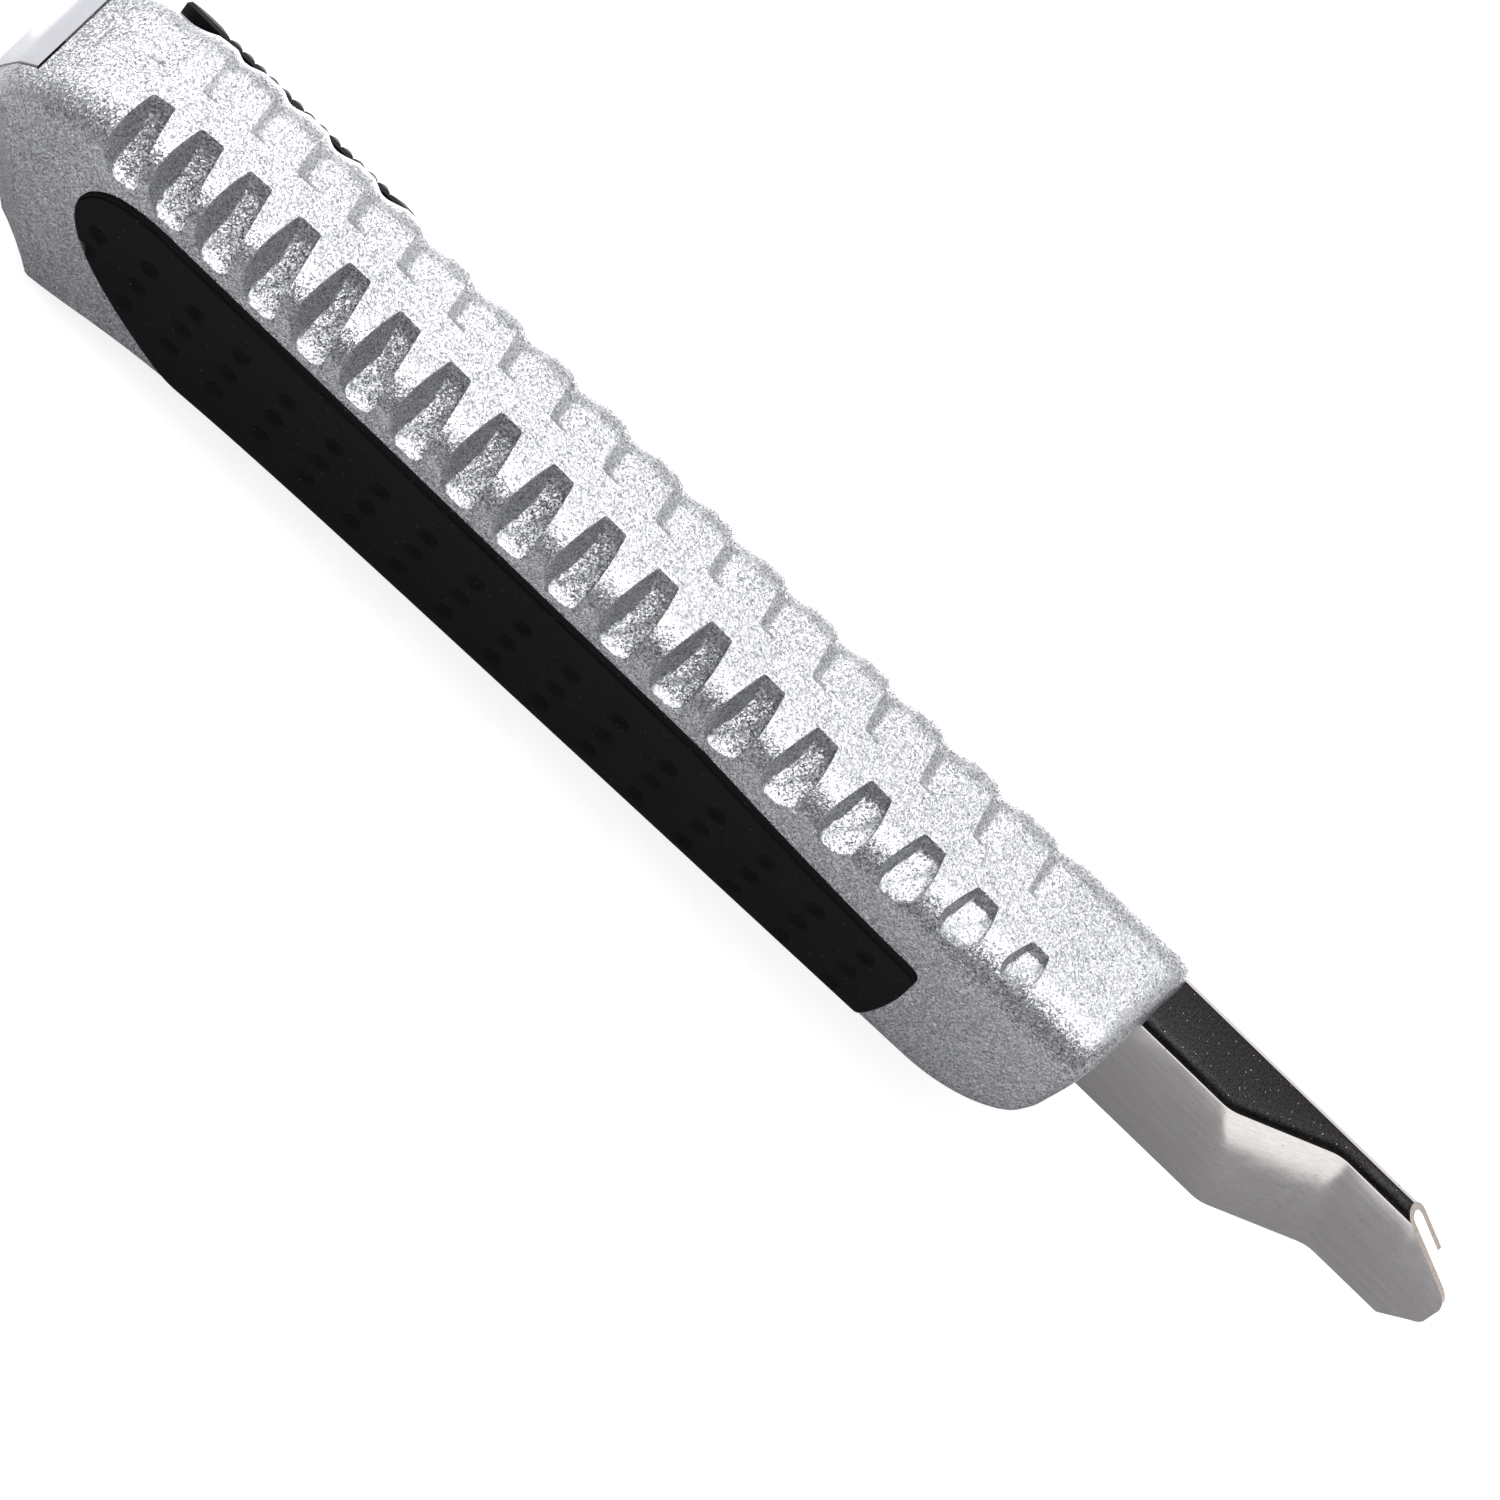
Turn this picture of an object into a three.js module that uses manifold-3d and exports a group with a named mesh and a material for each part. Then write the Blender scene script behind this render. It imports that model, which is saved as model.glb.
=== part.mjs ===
// Snap-off utility knife with a magazine for spare blades, in millimetres.
// +X runs along the blade channel towards the nose, +Z points to the spine edge and the
// cutting edge faces down. The rubber grip is on the -Y face and the thumb pad on the +Y face.
// Pieces are drawn with x = 0 just in front of the tail, y = 0 in the middle of the body and
// z = 0 below the middle of the channel. The last lines move the whole knife to its origin.
import * as THREE from 'three';
import { mergeVertices } from 'three/addons/utils/BufferGeometryUtils.js';
import Module from 'manifold-3d';

const wasm = await Module();
wasm.setup();

// ---- driving dimensions ----
const GAP = 0.3; // between neighbouring pieces
const EPS = 0.05;

// cast body
const BODY_HALF = 8.75; // from the middle to the rubber face
const THUMB_HALF = 8.6; // from the middle to the thumb face
const THUMB_FLARE = 0.4; // the thumb face stands out this much more at the nose
const FLARE_START = 100;
const SPINE_Z = 17.6;
const SPINE_DIP = 6.8; // how far the spine has fallen 22 mm behind DIP_START
const DIP_START = 18;
const DIP_LENGTH = 22;
const DIP_POWER = 3.2; // it falls ever more steeply and so rounds off the tail
const BELLY_Z = -15.4;
const BELLY_RISE = 0.042; // the belly climbs this much per mm towards the nose
const HEEL_DROP = 5.5; // extra depth of the heel at the tail
const HEEL_LENGTH = 16;
const NOSE_X = 134.6;
const NOSE_SKEW = 0.13; // the nose face leans forward on the thumb side
const NOSE_SKEW_START = 112;
const NOSE_ARC_X = 122; // the belly turns up to the nose from here
const NOSE_ARC_Z = 1.8;
const SPINE_NOSE_R = 2.5;
const RIM_R = 1.2;
const TAIL_X = -5.4;
const TAIL_LEAN = 0.5; // the tail is cut on a slant, further back at the spine
const TAIL_LEAN_LENGTH = 30;
const LEAN_ROUNDS = 12; // the lean depends on the height it leads to, so it is found in rounds
const TAIL_BEVEL = 3.2;
const TAIL_BEVEL_DEPTH = 1.7;
const GRIP_SPINE_R = 4.5;
const PAD_SPINE_R = 4.0;
const BELLY_R = 4.0;
const BODY_STEPS = 24;

// finger scallops over both spine edges
const SCALLOPS = 18;
const SCALLOP_START = 6.57;
const SCALLOP_PITCH = 7.35;
const SCALLOP_CROWDING = 9.92; // the first scallops stand closer together
const CROWDING_FADE = 5.5; // scallops over which the crowding fades
const STRIP_X = 36; // the plain strip between the two rows is narrowest here
const NEAR_WALL_Y = 1.25;
const NEAR_WALL_RISE = 0.0185;
const FAR_WALL_Y = 1.7;
const FAR_WALL_FALL = 0.0145;
const TAIL_SPREAD = 0.0011; // both walls move out by this much per mm squared behind STRIP_X
const NEAR_RUN = 13.2; // from the middle of the spine to the round end
const FAR_RUN = 12.8;
const RUN_FADE_X = 80; // the runs get shorter towards the nose from here
const RUN_FADE = 5.4; // by how much, 42 mm further on
const NEAR_LEAN = 2.2; // the round ends of the rear scallops stand forward of their walls
const SCALLOP_DEPTH = 1.5;
const FAR_SCALLOP_DEPTH = 0.7; // shallower where the channel lies just below
const SCALLOP_NARROW = 1.35;
const SCALLOP_WIDE = 2.45;

// folded steel channel
const SHEET = 0.6;
const CHANNEL_WEB_Y = 0.1;
const CHANNEL_LIP_Y = 7.4;
const CHANNEL_LOW_Z = -4.1;
const CHANNEL_TOP_Z = 15.9;
const CHANNEL_MID_Z = (CHANNEL_LOW_Z + CHANNEL_TOP_Z) / 2;
const CHANNEL_BEND_R = 1.2;
const CHANNEL_REAR_X = 12;
const LIP_WIDTH = 4.4;
const LIP_LOW_Z = CHANNEL_LOW_Z + LIP_WIDTH;
const LIP_HIGH_Z = CHANNEL_TOP_Z - LIP_WIDTH;
const JOGGLE_START_X = 148.75;
const JOGGLE_LENGTH = 13.5;
const JOGGLE_RISE = 4.9;
const CHANNEL_SLANT = 0.38; // the joggle and the blade tips lean by this per mm of height

// blades, stacked in the channel
const BLADE_WIDTH = 18;
const BLADE_THICK = 0.5;
const BLADE_REAR_X = 50;
const BLADE_TIP_X = 150;
const BLADE_LOW_Z = -3.2;
const BLADE_SLANT = 0.45;
const BLADE_GRIND = 2.4;
const BLADE_SEGMENT = 10;
const BLADE_SEGMENTS = 9;
const BLADE_HOLE_R = 2.6;
const BLADE_HOLE_X = BLADE_REAR_X + 6;
const BLADE_Y = 6.3;
const SPARE_Y = [5.4, 4.65];
const FOLLOWER_Y = 3.65;
const FOLLOWER_THICK = 0.7;
const SPRING_THICK = 0.35;

// slider, pad and lock
const SLIDE_Z = 5.9; // middle of the channel and of the pad
const TRAVEL = 90;
const NOTCH_PITCH = 5;
const NOTCH_DEPTH = 1.3;
const NOTCH_LENGTH = 2.4;
const LOCK_X = 15;
const LOCK_THICK = 1.5;
const CARRIER_Y = 6.85;
const CARRIER_THICK = 0.6;
const CARRIER_START = 2;
const CARRIER_END = 61;
const CARRIER_HALF = 5.1;
const BLOCK_START = 2.5;
const BLOCK_END = 30;
const BLOCK_HALF = 4.0;
const BLOCK_LOW_Y = 7.75;
const BLOCK_TOP_Y = 8.85;
const SLOT_HALF = 4.5;
const PAD_START = 1.0;
const PAD_END = 31.0;
const PAD_LOW_Y = 9.45;
const PAD_TOP_Y = 10.4;
const PAD_RIDGE_DEPTH = 0.65;
const PAD_HALF = 6.5;
const PAD_RIDGES = 13;
const PAD_RIDGE_START = 7.2;
const PAD_RIDGE_PITCH = 1.62;
const RIVET_X = [6.5, 26];
const RIVET_R = 1.2;

// cavity of the casting
const CAVITY_Y = [CHANNEL_WEB_Y - 0.4, CHANNEL_LIP_Y + GAP];
const CAVITY_Z = [CHANNEL_LOW_Z - 0.25, CHANNEL_TOP_Z + 0.25];
// roof of the tail room, from its opening up to the rear of the channel
const TAIL_ROOF = [
  [-4.4, 7.8],
  [-1, 10.6],
  [2, 12.2],
  [CHANNEL_REAR_X, 14.8],
];
const CORE_WALL = 2.6;
const CORE_TOP_Z = 10;
const CORE_FLOOR_Y = -5.6;
const CORE_START = 24;
const CORE_PITCH = 20;
const CORE_LENGTH = 17.5;
const CORES = 5;

// end cap
const CAP_EDGE_Y = -5.4;
const CAP_FRONT_X = -4.6;
const CAP_SKIN = 1.8;
const CAP_FOOT_Z = -7;
const CAP_BREAK_Z = 3.4;

// rubber inlay
const INLAY_PROUD = 0.3;
const INLAY_DEPTH = 1.2;

// ---- helpers ----
function toSolid(geometry) {
  const bare = geometry.clone();
  bare.deleteAttribute('normal');
  bare.deleteAttribute('uv');
  const merged = mergeVertices(bare, 1e-5);
  return new wasm.Manifold(new wasm.Mesh({
    numProp: 3,
    vertProperties: new Float32Array(merged.attributes.position.array),
    triVerts: new Uint32Array(merged.index.array),
  }));
}

function toGeometry(solid) {
  const mesh = solid.getMesh();
  const geometry = new THREE.BufferGeometry();
  geometry.setAttribute('position', new THREE.BufferAttribute(mesh.vertProperties, 3));
  geometry.setIndex(new THREE.BufferAttribute(mesh.triVerts, 1));
  return geometry;
}

function polygon(points) {
  return new THREE.Shape(points.map(([a, b]) => new THREE.Vector2(a, b)));
}

// A section drawn in (y, z), run along X from x0 to x1.
function alongX(shape, x0, x1, steps = 1, curveSegments = 6) {
  const options = { depth: x1 - x0, steps, bevelEnabled: false, curveSegments };
  const geometry = new THREE.ExtrudeGeometry(shape, options);
  const axes = new THREE.Matrix4().makeBasis(
    new THREE.Vector3(0, 1, 0),
    new THREE.Vector3(0, 0, 1),
    new THREE.Vector3(1, 0, 0),
  );
  return geometry.applyMatrix4(axes).translate(x0, 0, 0);
}

// An outline drawn in (x, z), run along Y from y0 to y1.
function alongY(shape, y0, y1, curveSegments = 6) {
  const options = { depth: y1 - y0, bevelEnabled: false, curveSegments };
  return new THREE.ExtrudeGeometry(shape, options).rotateX(Math.PI / 2).translate(0, y1, 0);
}

// An outline drawn in (x, y), run along Z from z0 to z1.
function alongZ(shape, z0, z1, curveSegments = 6) {
  const options = { depth: z1 - z0, bevelEnabled: false, curveSegments };
  return new THREE.ExtrudeGeometry(shape, options).translate(0, 0, z0);
}

function box(x0, x1, y0, y1, z0, z1) {
  const geometry = new THREE.BoxGeometry(x1 - x0, y1 - y0, z1 - z0);
  return geometry.translate((x0 + x1) / 2, (y0 + y1) / 2, (z0 + z1) / 2);
}

function boxSolid(...limits) {
  return toSolid(box(...limits));
}

// A round pin along Y.
function pinY(x, z, radius, y0, y1, segments = 16) {
  const geometry = new THREE.CylinderGeometry(radius, radius, y1 - y0, segments);
  return geometry.translate(x, (y0 + y1) / 2, z);
}

function moveVertices(geometry, place) {
  const position = geometry.attributes.position;
  const point = new THREE.Vector3();
  for (let i = 0; i < position.count; i += 1) {
    point.fromBufferAttribute(position, i);
    place(point);
    position.setXYZ(i, point.x, point.y, point.z);
  }
  return geometry;
}

function joinAll(solids) {
  return solids.reduce((sum, next) => sum.add(next));
}

// ---- outer form of the body, which the cap and the inlay share ----
function spineAt(x) {
  const dip = SPINE_DIP * Math.max(0, (DIP_START - x) / DIP_LENGTH) ** DIP_POWER;
  const beyond = Math.min(1, Math.max(0, x - (NOSE_X - SPINE_NOSE_R)) / SPINE_NOSE_R);
  return SPINE_Z - dip - SPINE_NOSE_R * (1 - Math.sqrt(1 - beyond ** 2));
}

function bellyAt(x) {
  const heel = HEEL_DROP / (1 + (Math.max(x, 0) / HEEL_LENGTH) ** 3);
  const straight = BELLY_Z + BELLY_RISE * x - heel;
  if (x < NOSE_ARC_X) {
    return straight;
  }
  const turn = Math.min(1, (x - NOSE_ARC_X) / (NOSE_X - NOSE_ARC_X));
  const drop = NOSE_ARC_Z - (BELLY_Z + BELLY_RISE * NOSE_ARC_X);
  return NOSE_ARC_Z - drop * Math.sqrt(1 - turn ** 2);
}

function bodySection(grow) {
  const half = BODY_HALF + grow;
  const top = SPINE_Z + grow;
  const low = BELLY_Z - grow;
  const gripR = GRIP_SPINE_R + grow;
  const padR = PAD_SPINE_R + grow;
  const bellyR = BELLY_R + grow;
  const shape = new THREE.Shape();
  shape.moveTo(-half + bellyR, low);
  shape.lineTo(half - bellyR, low);
  shape.absarc(half - bellyR, low + bellyR, bellyR, -Math.PI / 2, 0, false);
  shape.lineTo(half, top - padR);
  shape.absarc(half - padR, top - padR, padR, 0, Math.PI / 2, false);
  shape.lineTo(-half + gripR, top);
  shape.absarc(-half + gripR, top - gripR, gripR, Math.PI / 2, Math.PI, false);
  shape.lineTo(-half, low + bellyR);
  shape.absarc(-half + bellyR, low + bellyR, bellyR, Math.PI, Math.PI * 1.5, false);
  return shape;
}

// The section is run from tail to nose. Each slice takes its height from the spine and belly
// lines, the nose edge is rounded over, and the tail is bevelled and cut on a slant.
function bodyForm(grow) {
  const form = alongX(bodySection(grow), 0, 1, BODY_STEPS, 2);
  const middle = (SPINE_Z + BELLY_Z) / 2;
  return toSolid(moveVertices(form, (point) => {
    const spread = (1 - Math.cos(Math.PI * point.x)) / 2;
    const along = TAIL_X + (NOSE_X - TAIL_X) * spread;
    const upper = point.z > middle;
    const fromEdge = upper ? SPINE_Z - point.z : point.z - BELLY_Z;
    const height = (x) => (upper ? spineAt(x) - fromEdge : bellyAt(x) + fromEdge);
    const lean = Math.max(0, 1 - (along - TAIL_X) / TAIL_LEAN_LENGTH) ** 1.5;
    let x = along;
    for (let i = 0; i < LEAN_ROUNDS; i += 1) {
      x = (x + along - TAIL_LEAN * height(x) * lean) / 2;
    }
    let z = height(Math.min(x, NOSE_X));
    const rim = Math.max(0, along - (NOSE_X - RIM_R)) / RIM_R;
    const rimInset = RIM_R * (1 - Math.sqrt(Math.max(0, 1 - rim ** 2)));
    const bevel = Math.max(0, 1 - (along - TAIL_X) / TAIL_BEVEL);
    const inset = rimInset + TAIL_BEVEL_DEPTH * bevel;
    z += upper ? -inset : inset;
    const lead = Math.max(0, (along - NOSE_SKEW_START) / (NOSE_X - NOSE_SKEW_START));
    const flare = THUMB_FLARE * Math.max(0, (along - FLARE_START) / (NOSE_X - FLARE_START));
    point.y *= point.y > 0 ? (THUMB_HALF + flare) / BODY_HALF : 1;
    point.y *= 1 - inset / BODY_HALF;
    point.x = x + NOSE_SKEW * point.y * lead;
    point.z = z;
  }));
}

// ---- finger scallops ----
// Each scallop starts at a wall beside the middle of the spine, widens over the rounded edge
// and fades out in a round end on the side. The path is followed by its arc length.
function scallopCutter({ side, centreX, start, run, lean, scale }) {
  const top = spineAt(centreX);
  const half = side < 0 ? BODY_HALF : THUMB_HALF;
  const cornerR = side < 0 ? GRIP_SPINE_R : PAD_SPINE_R;
  const depth = side < 0 ? SCALLOP_DEPTH : FAR_SCALLOP_DEPTH;
  const flat = half - cornerR;
  const turn = (cornerR * Math.PI) / 2;
  const cup = new THREE.Shape();
  cup.moveTo(1, 1);
  cup.lineTo(1, 0);
  cup.absarc(0, 0, 1, 0, -Math.PI, true);
  cup.lineTo(-1, 1);
  const cutter = alongX(cup, 0, 1, 5, 2);
  return toSolid(moveVertices(cutter, (point) => {
    const t = point.x;
    const across = point.y;
    const up = point.z;
    const s = start + t * (run - start);
    let y = half;
    let z = top - cornerR - (s - flat - turn);
    let tilt = Math.PI / 2;
    if (s < flat) {
      y = s;
      z = top;
      tilt = 0;
    } else if (s < flat + turn) {
      tilt = (s - flat) / cornerR;
      y = half - cornerR + cornerR * Math.sin(tilt);
      z = top - cornerR + cornerR * Math.cos(tilt);
    }
    const fade = Math.sqrt(Math.max(0.02, 1 - t ** 3));
    const spread = SCALLOP_NARROW + (SCALLOP_WIDE - SCALLOP_NARROW) * Math.sin((t * Math.PI) / 2);
    const halfWidth = spread * scale * Math.sqrt(Math.max(0.05, 1 - t ** 8));
    const reach = up < 0 ? up * depth * scale * fade : up * 1.2;
    point.x = centreX + lean * t * t - across * halfWidth * side;
    point.y = side * (y + Math.sin(tilt) * reach);
    point.z = z + Math.cos(tilt) * reach;
  }));
}

function scallopX(index) {
  const crowd = SCALLOP_CROWDING * (1 - Math.exp(-index / CROWDING_FADE));
  return SCALLOP_START + SCALLOP_PITCH * index - crowd;
}

function wallY(x, y, slope) {
  const behind = Math.max(0, STRIP_X - x) ** 2;
  return y + slope * Math.max(0, x - STRIP_X) + Math.sign(slope) * TAIL_SPREAD * behind;
}

function scallopRows() {
  const cutters = [];
  for (let i = 0; i < SCALLOPS; i += 1) {
    const fadeIn = i === 0 ? 0.85 : 1;
    const fadeOut = i === SCALLOPS - 1 ? 0.8 : 1;
    const scale = fadeIn * fadeOut;
    const near = scallopX(i);
    const far = (scallopX(i - 1) + near) / 2;
    const shorter = RUN_FADE * Math.max(0, (near - RUN_FADE_X) / 42) ** 1.35;
    cutters.push(scallopCutter({
      side: -1,
      centreX: near,
      start: wallY(near, NEAR_WALL_Y, NEAR_WALL_RISE),
      run: NEAR_RUN - shorter,
      lean: NEAR_LEAN * Math.max(0, 1 - near / RUN_FADE_X),
      scale,
    }));
    cutters.push(scallopCutter({
      side: 1,
      centreX: far,
      start: wallY(far, FAR_WALL_Y, -FAR_WALL_FALL),
      run: FAR_RUN,
      lean: 0,
      scale: i < 3 ? 0.75 : scale,
    }));
  }
  return joinAll(cutters);
}

// ---- rubber inlay ----
// Leaf shaped at the tail, nearly upright at the nose, its lower edge round the belly corner.
function inlayOutline(grow) {
  const shape = new THREE.Shape();
  shape.moveTo(25 - grow, bellyAt(25) + 2.1 - grow);
  shape.quadraticCurveTo(6.2 - grow, -6.5 - grow, 6.6 - grow, 3);
  shape.quadraticCurveTo(7.2 - grow, 9.4 + grow, 15, 9.7 + grow);
  shape.lineTo(86, 9.7 + grow);
  shape.quadraticCurveTo(104, 7.4 + grow, 114.5, 7.4 + grow);
  shape.quadraticCurveTo(116 + grow, 7.4 + grow, 116.2 + grow, 6);
  shape.quadraticCurveTo(117 + grow, 0, 115.6 + grow, bellyAt(115) + 1.4 - grow);
  for (let x = 100; x > 30; x -= 20) {
    shape.lineTo(x, bellyAt(x) + 1.4 - grow);
  }
  return shape;
}

function inlayPrism(grow) {
  return toSolid(alongY(inlayOutline(grow), -BODY_HALF - 3, -BODY_HALF + 4.6, 5));
}

// ---- folded channel ----
function channelSection() {
  const inner = CHANNEL_BEND_R - SHEET;
  const shape = new THREE.Shape();
  const webIn = CHANNEL_WEB_Y + SHEET;
  const lipIn = CHANNEL_LIP_Y - SHEET;
  const lowIn = CHANNEL_LOW_Z + SHEET;
  const topIn = CHANNEL_TOP_Z - SHEET;
  const r = CHANNEL_BEND_R;
  shape.moveTo(CHANNEL_WEB_Y + r, CHANNEL_LOW_Z);
  shape.lineTo(CHANNEL_LIP_Y - r, CHANNEL_LOW_Z);
  shape.absarc(CHANNEL_LIP_Y - r, CHANNEL_LOW_Z + r, r, -Math.PI / 2, 0, false);
  shape.lineTo(CHANNEL_LIP_Y, LIP_LOW_Z);
  shape.lineTo(lipIn, LIP_LOW_Z);
  shape.lineTo(lipIn, lowIn + inner);
  shape.absarc(lipIn - inner, lowIn + inner, inner, 0, -Math.PI / 2, true);
  shape.lineTo(webIn + inner, lowIn);
  shape.absarc(webIn + inner, lowIn + inner, inner, -Math.PI / 2, -Math.PI, true);
  shape.lineTo(webIn, topIn - inner);
  shape.absarc(webIn + inner, topIn - inner, inner, Math.PI, Math.PI / 2, true);
  shape.lineTo(lipIn - inner, topIn);
  shape.absarc(lipIn - inner, topIn - inner, inner, Math.PI / 2, 0, true);
  shape.lineTo(lipIn, LIP_HIGH_Z);
  shape.lineTo(CHANNEL_LIP_Y, LIP_HIGH_Z);
  shape.lineTo(CHANNEL_LIP_Y, CHANNEL_TOP_Z - r);
  shape.absarc(CHANNEL_LIP_Y - r, CHANNEL_TOP_Z - r, r, 0, Math.PI / 2, false);
  shape.lineTo(CHANNEL_WEB_Y + r, CHANNEL_TOP_Z);
  shape.absarc(CHANNEL_WEB_Y + r, CHANNEL_TOP_Z - r, r, Math.PI / 2, Math.PI, false);
  shape.lineTo(CHANNEL_WEB_Y, CHANNEL_LOW_Z + r);
  shape.absarc(CHANNEL_WEB_Y + r, CHANNEL_LOW_Z + r, r, Math.PI, Math.PI * 1.5, false);
  return shape;
}

// The web steps towards the lips along a slanted line, which leaves a thin mouth for one blade.
function channelBlank() {
  const stations = [0, JOGGLE_START_X];
  for (const part of [0.15, 0.85, 1]) {
    stations.push(JOGGLE_START_X + part * JOGGLE_LENGTH);
  }
  stations.push(200);
  const blank = alongX(channelSection(), 0, stations.length - 1, stations.length - 1, 2);
  return toSolid(moveVertices(blank, (point) => {
    const x = stations[Math.round(point.x)];
    const part = Math.min(1, Math.max(0, (x - JOGGLE_START_X) / JOGGLE_LENGTH));
    const rise = part === 0.15 ? 0.08 : part === 0.85 ? 0.92 : part;
    const webSide = point.y < CHANNEL_WEB_Y + CHANNEL_BEND_R + EPS;
    point.x = x - CHANNEL_SLANT * (point.z - CHANNEL_MID_Z);
    point.y += webSide ? JOGGLE_RISE * rise : 0;
  }));
}

function channelEnds() {
  const nose = new THREE.Shape();
  nose.moveTo(160.6, 19.9);
  nose.lineTo(174.8, 9.4);
  nose.quadraticCurveTo(177, 7.8, 177.1, 5.4);
  nose.lineTo(177.4, 2.4);
  nose.quadraticCurveTo(177.4, 1.4, 176.7, 0.6);
  nose.lineTo(173.5, -4.6);
  nose.lineTo(210, -4.6);
  nose.lineTo(210, 19.9);
  const rear = boxSolid(-10, CHANNEL_REAR_X, -2, 9, -9, 22);
  return toSolid(alongY(nose, -2, 9, 3)).add(rear);
}

function channelNotches() {
  const cuts = [];
  for (let x = LOCK_X; x <= LOCK_X + TRAVEL; x += NOTCH_PITCH) {
    const low = x - NOTCH_LENGTH / 2;
    const high = x + NOTCH_LENGTH / 2;
    const y0 = CHANNEL_LIP_Y - SHEET - EPS;
    const y1 = CHANNEL_LIP_Y + 1;
    cuts.push(boxSolid(low, high, y0, y1, LIP_LOW_Z - NOTCH_DEPTH, LIP_LOW_Z + 1));
    cuts.push(boxSolid(low, high, y0, y1, LIP_HIGH_Z - 1, LIP_HIGH_Z + NOTCH_DEPTH));
  }
  return joinAll(cuts);
}

// ---- the pins that hold the channel ----
const PIN_X = [128.5, 19];
const PIN_Z = 4.0;
const PIN_R = 1.25;
const PIN_DEEP_Y = -5.4;

function channelPin(x) {
  const shank = toSolid(pinY(x, PIN_Z, PIN_R, PIN_DEEP_Y + GAP, CHANNEL_WEB_Y + SHEET + 0.6));
  const head = toSolid(pinY(x, PIN_Z, 2.2, CHANNEL_WEB_Y + SHEET + GAP, CHANNEL_WEB_Y + SHEET + 1.0));
  return shank.add(head);
}

// ---- cap region: a skin over the slanted tail, deeper at the spine ----
function capRegion(clear) {
  const slantX = (z) => TAIL_X - TAIL_LEAN * z + CAP_SKIN + clear;
  const front = CAP_FRONT_X + clear;
  const outline = polygon([
    [front, SPINE_Z + 4],
    [front, CAP_BREAK_Z],
    [slantX(CAP_FOOT_Z), CAP_FOOT_Z - clear],
    [-20, CAP_FOOT_Z - clear],
    [-20, SPINE_Z + 4],
  ]);
  return toSolid(alongY(outline, CAP_EDGE_Y - clear, BODY_HALF + 4));
}

// ---- body casting ----
function bodyCasting() {
  const channelCorner = 1.2;
  const [y0, y1] = CAVITY_Y;
  const [z0, z1] = CAVITY_Z;
  const passage = polygon([
    [y0, z0],
    [y1 - channelCorner, z0],
    [y1, z0 + channelCorner],
    [y1, z1 - channelCorner],
    [y1 - channelCorner, z1],
    [y0, z1],
  ]);
  const cuts = [toSolid(alongX(passage, CHANNEL_REAR_X - 1, NOSE_X + 10))];
  const tailRoom = polygon([
    [-20, z0],
    [CHANNEL_REAR_X, z0],
    ...[...TAIL_ROOF].reverse(),
    [-20, TAIL_ROOF[0][1]],
  ]);
  cuts.push(toSolid(alongY(tailRoom, y0, y1)));
  const slotStart = BLOCK_START - 0.7;
  const slotEnd = BLOCK_END + TRAVEL + 0.7;
  cuts.push(boxSolid(slotStart, slotEnd, y1 - EPS, 12, SLIDE_Z - SLOT_HALF, SLIDE_Z + SLOT_HALF));
  for (let i = 0; i < CORES; i += 1) {
    const start = CORE_START + CORE_PITCH * i;
    const end = start + CORE_LENGTH;
    const floor = bellyAt(end) + CORE_WALL;
    const core = polygon([
      [CORE_FLOOR_Y, floor],
      [6, floor],
      [6, z0 + EPS],
      [y0 + EPS, z0 + EPS],
      [y0 + EPS, CORE_TOP_Z],
      [CORE_FLOOR_Y, CORE_TOP_Z],
    ]);
    cuts.push(toSolid(alongX(core, start, end)));
  }
  for (const x of PIN_X) {
    cuts.push(toSolid(pinY(x, PIN_Z, PIN_R + GAP, PIN_DEEP_Y, y0 + EPS)));
  }
  const recess = inlayPrism(GAP).subtract(bodyForm(-INLAY_DEPTH - GAP));
  return bodyForm(0)
    .subtract(scallopRows())
    .subtract(recess)
    .subtract(joinAll(cuts))
    .subtract(capRegion(GAP));
}

function gripInlay() {
  const skin = bodyForm(INLAY_PROUD).subtract(bodyForm(-INLAY_DEPTH));
  return skin.intersect(inlayPrism(0));
}

function bladeChannel() {
  const holes = PIN_X.map((x) => toSolid(pinY(x, PIN_Z, PIN_R + GAP, -2, CHANNEL_WEB_Y + 2)));
  return channelBlank().subtract(channelEnds()).subtract(channelNotches()).subtract(joinAll(holes));
}

// ---- blades ----
// The section has a ground edge, the tip leans back towards the spine, and slanted score lines
// divide the blade into segments.
function snapBlade(y) {
  const half = BLADE_THICK / 2;
  const section = polygon([
    [y - 0.06, BLADE_LOW_Z],
    [y + 0.06, BLADE_LOW_Z],
    [y + half, BLADE_LOW_Z + BLADE_GRIND],
    [y + half, BLADE_LOW_Z + BLADE_WIDTH],
    [y - half, BLADE_LOW_Z + BLADE_WIDTH],
    [y - half, BLADE_LOW_Z + BLADE_GRIND],
  ]);
  const lean = (point) => {
    point.x -= BLADE_SLANT * (point.z - BLADE_LOW_Z);
  };
  const blank = toSolid(moveVertices(alongX(section, BLADE_REAR_X - 1, BLADE_TIP_X), lean));
  const cuts = [boxSolid(0, BLADE_REAR_X, y - 2, y + 2, BLADE_LOW_Z - 1, BLADE_LOW_Z + 20)];
  cuts.push(toSolid(pinY(BLADE_HOLE_X, SLIDE_Z, BLADE_HOLE_R, y - 1, y + 1, 20)));
  for (let i = 1; i < BLADE_SEGMENTS; i += 1) {
    const x = BLADE_TIP_X - i * BLADE_SEGMENT;
    const scoreY = y + half - 0.12;
    const score = box(x - 0.15, x + 0.15, scoreY, y + 1, BLADE_LOW_Z - 1, BLADE_LOW_Z + 19);
    cuts.push(toSolid(moveVertices(score, lean)));
  }
  return blank.subtract(joinAll(cuts));
}

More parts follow.
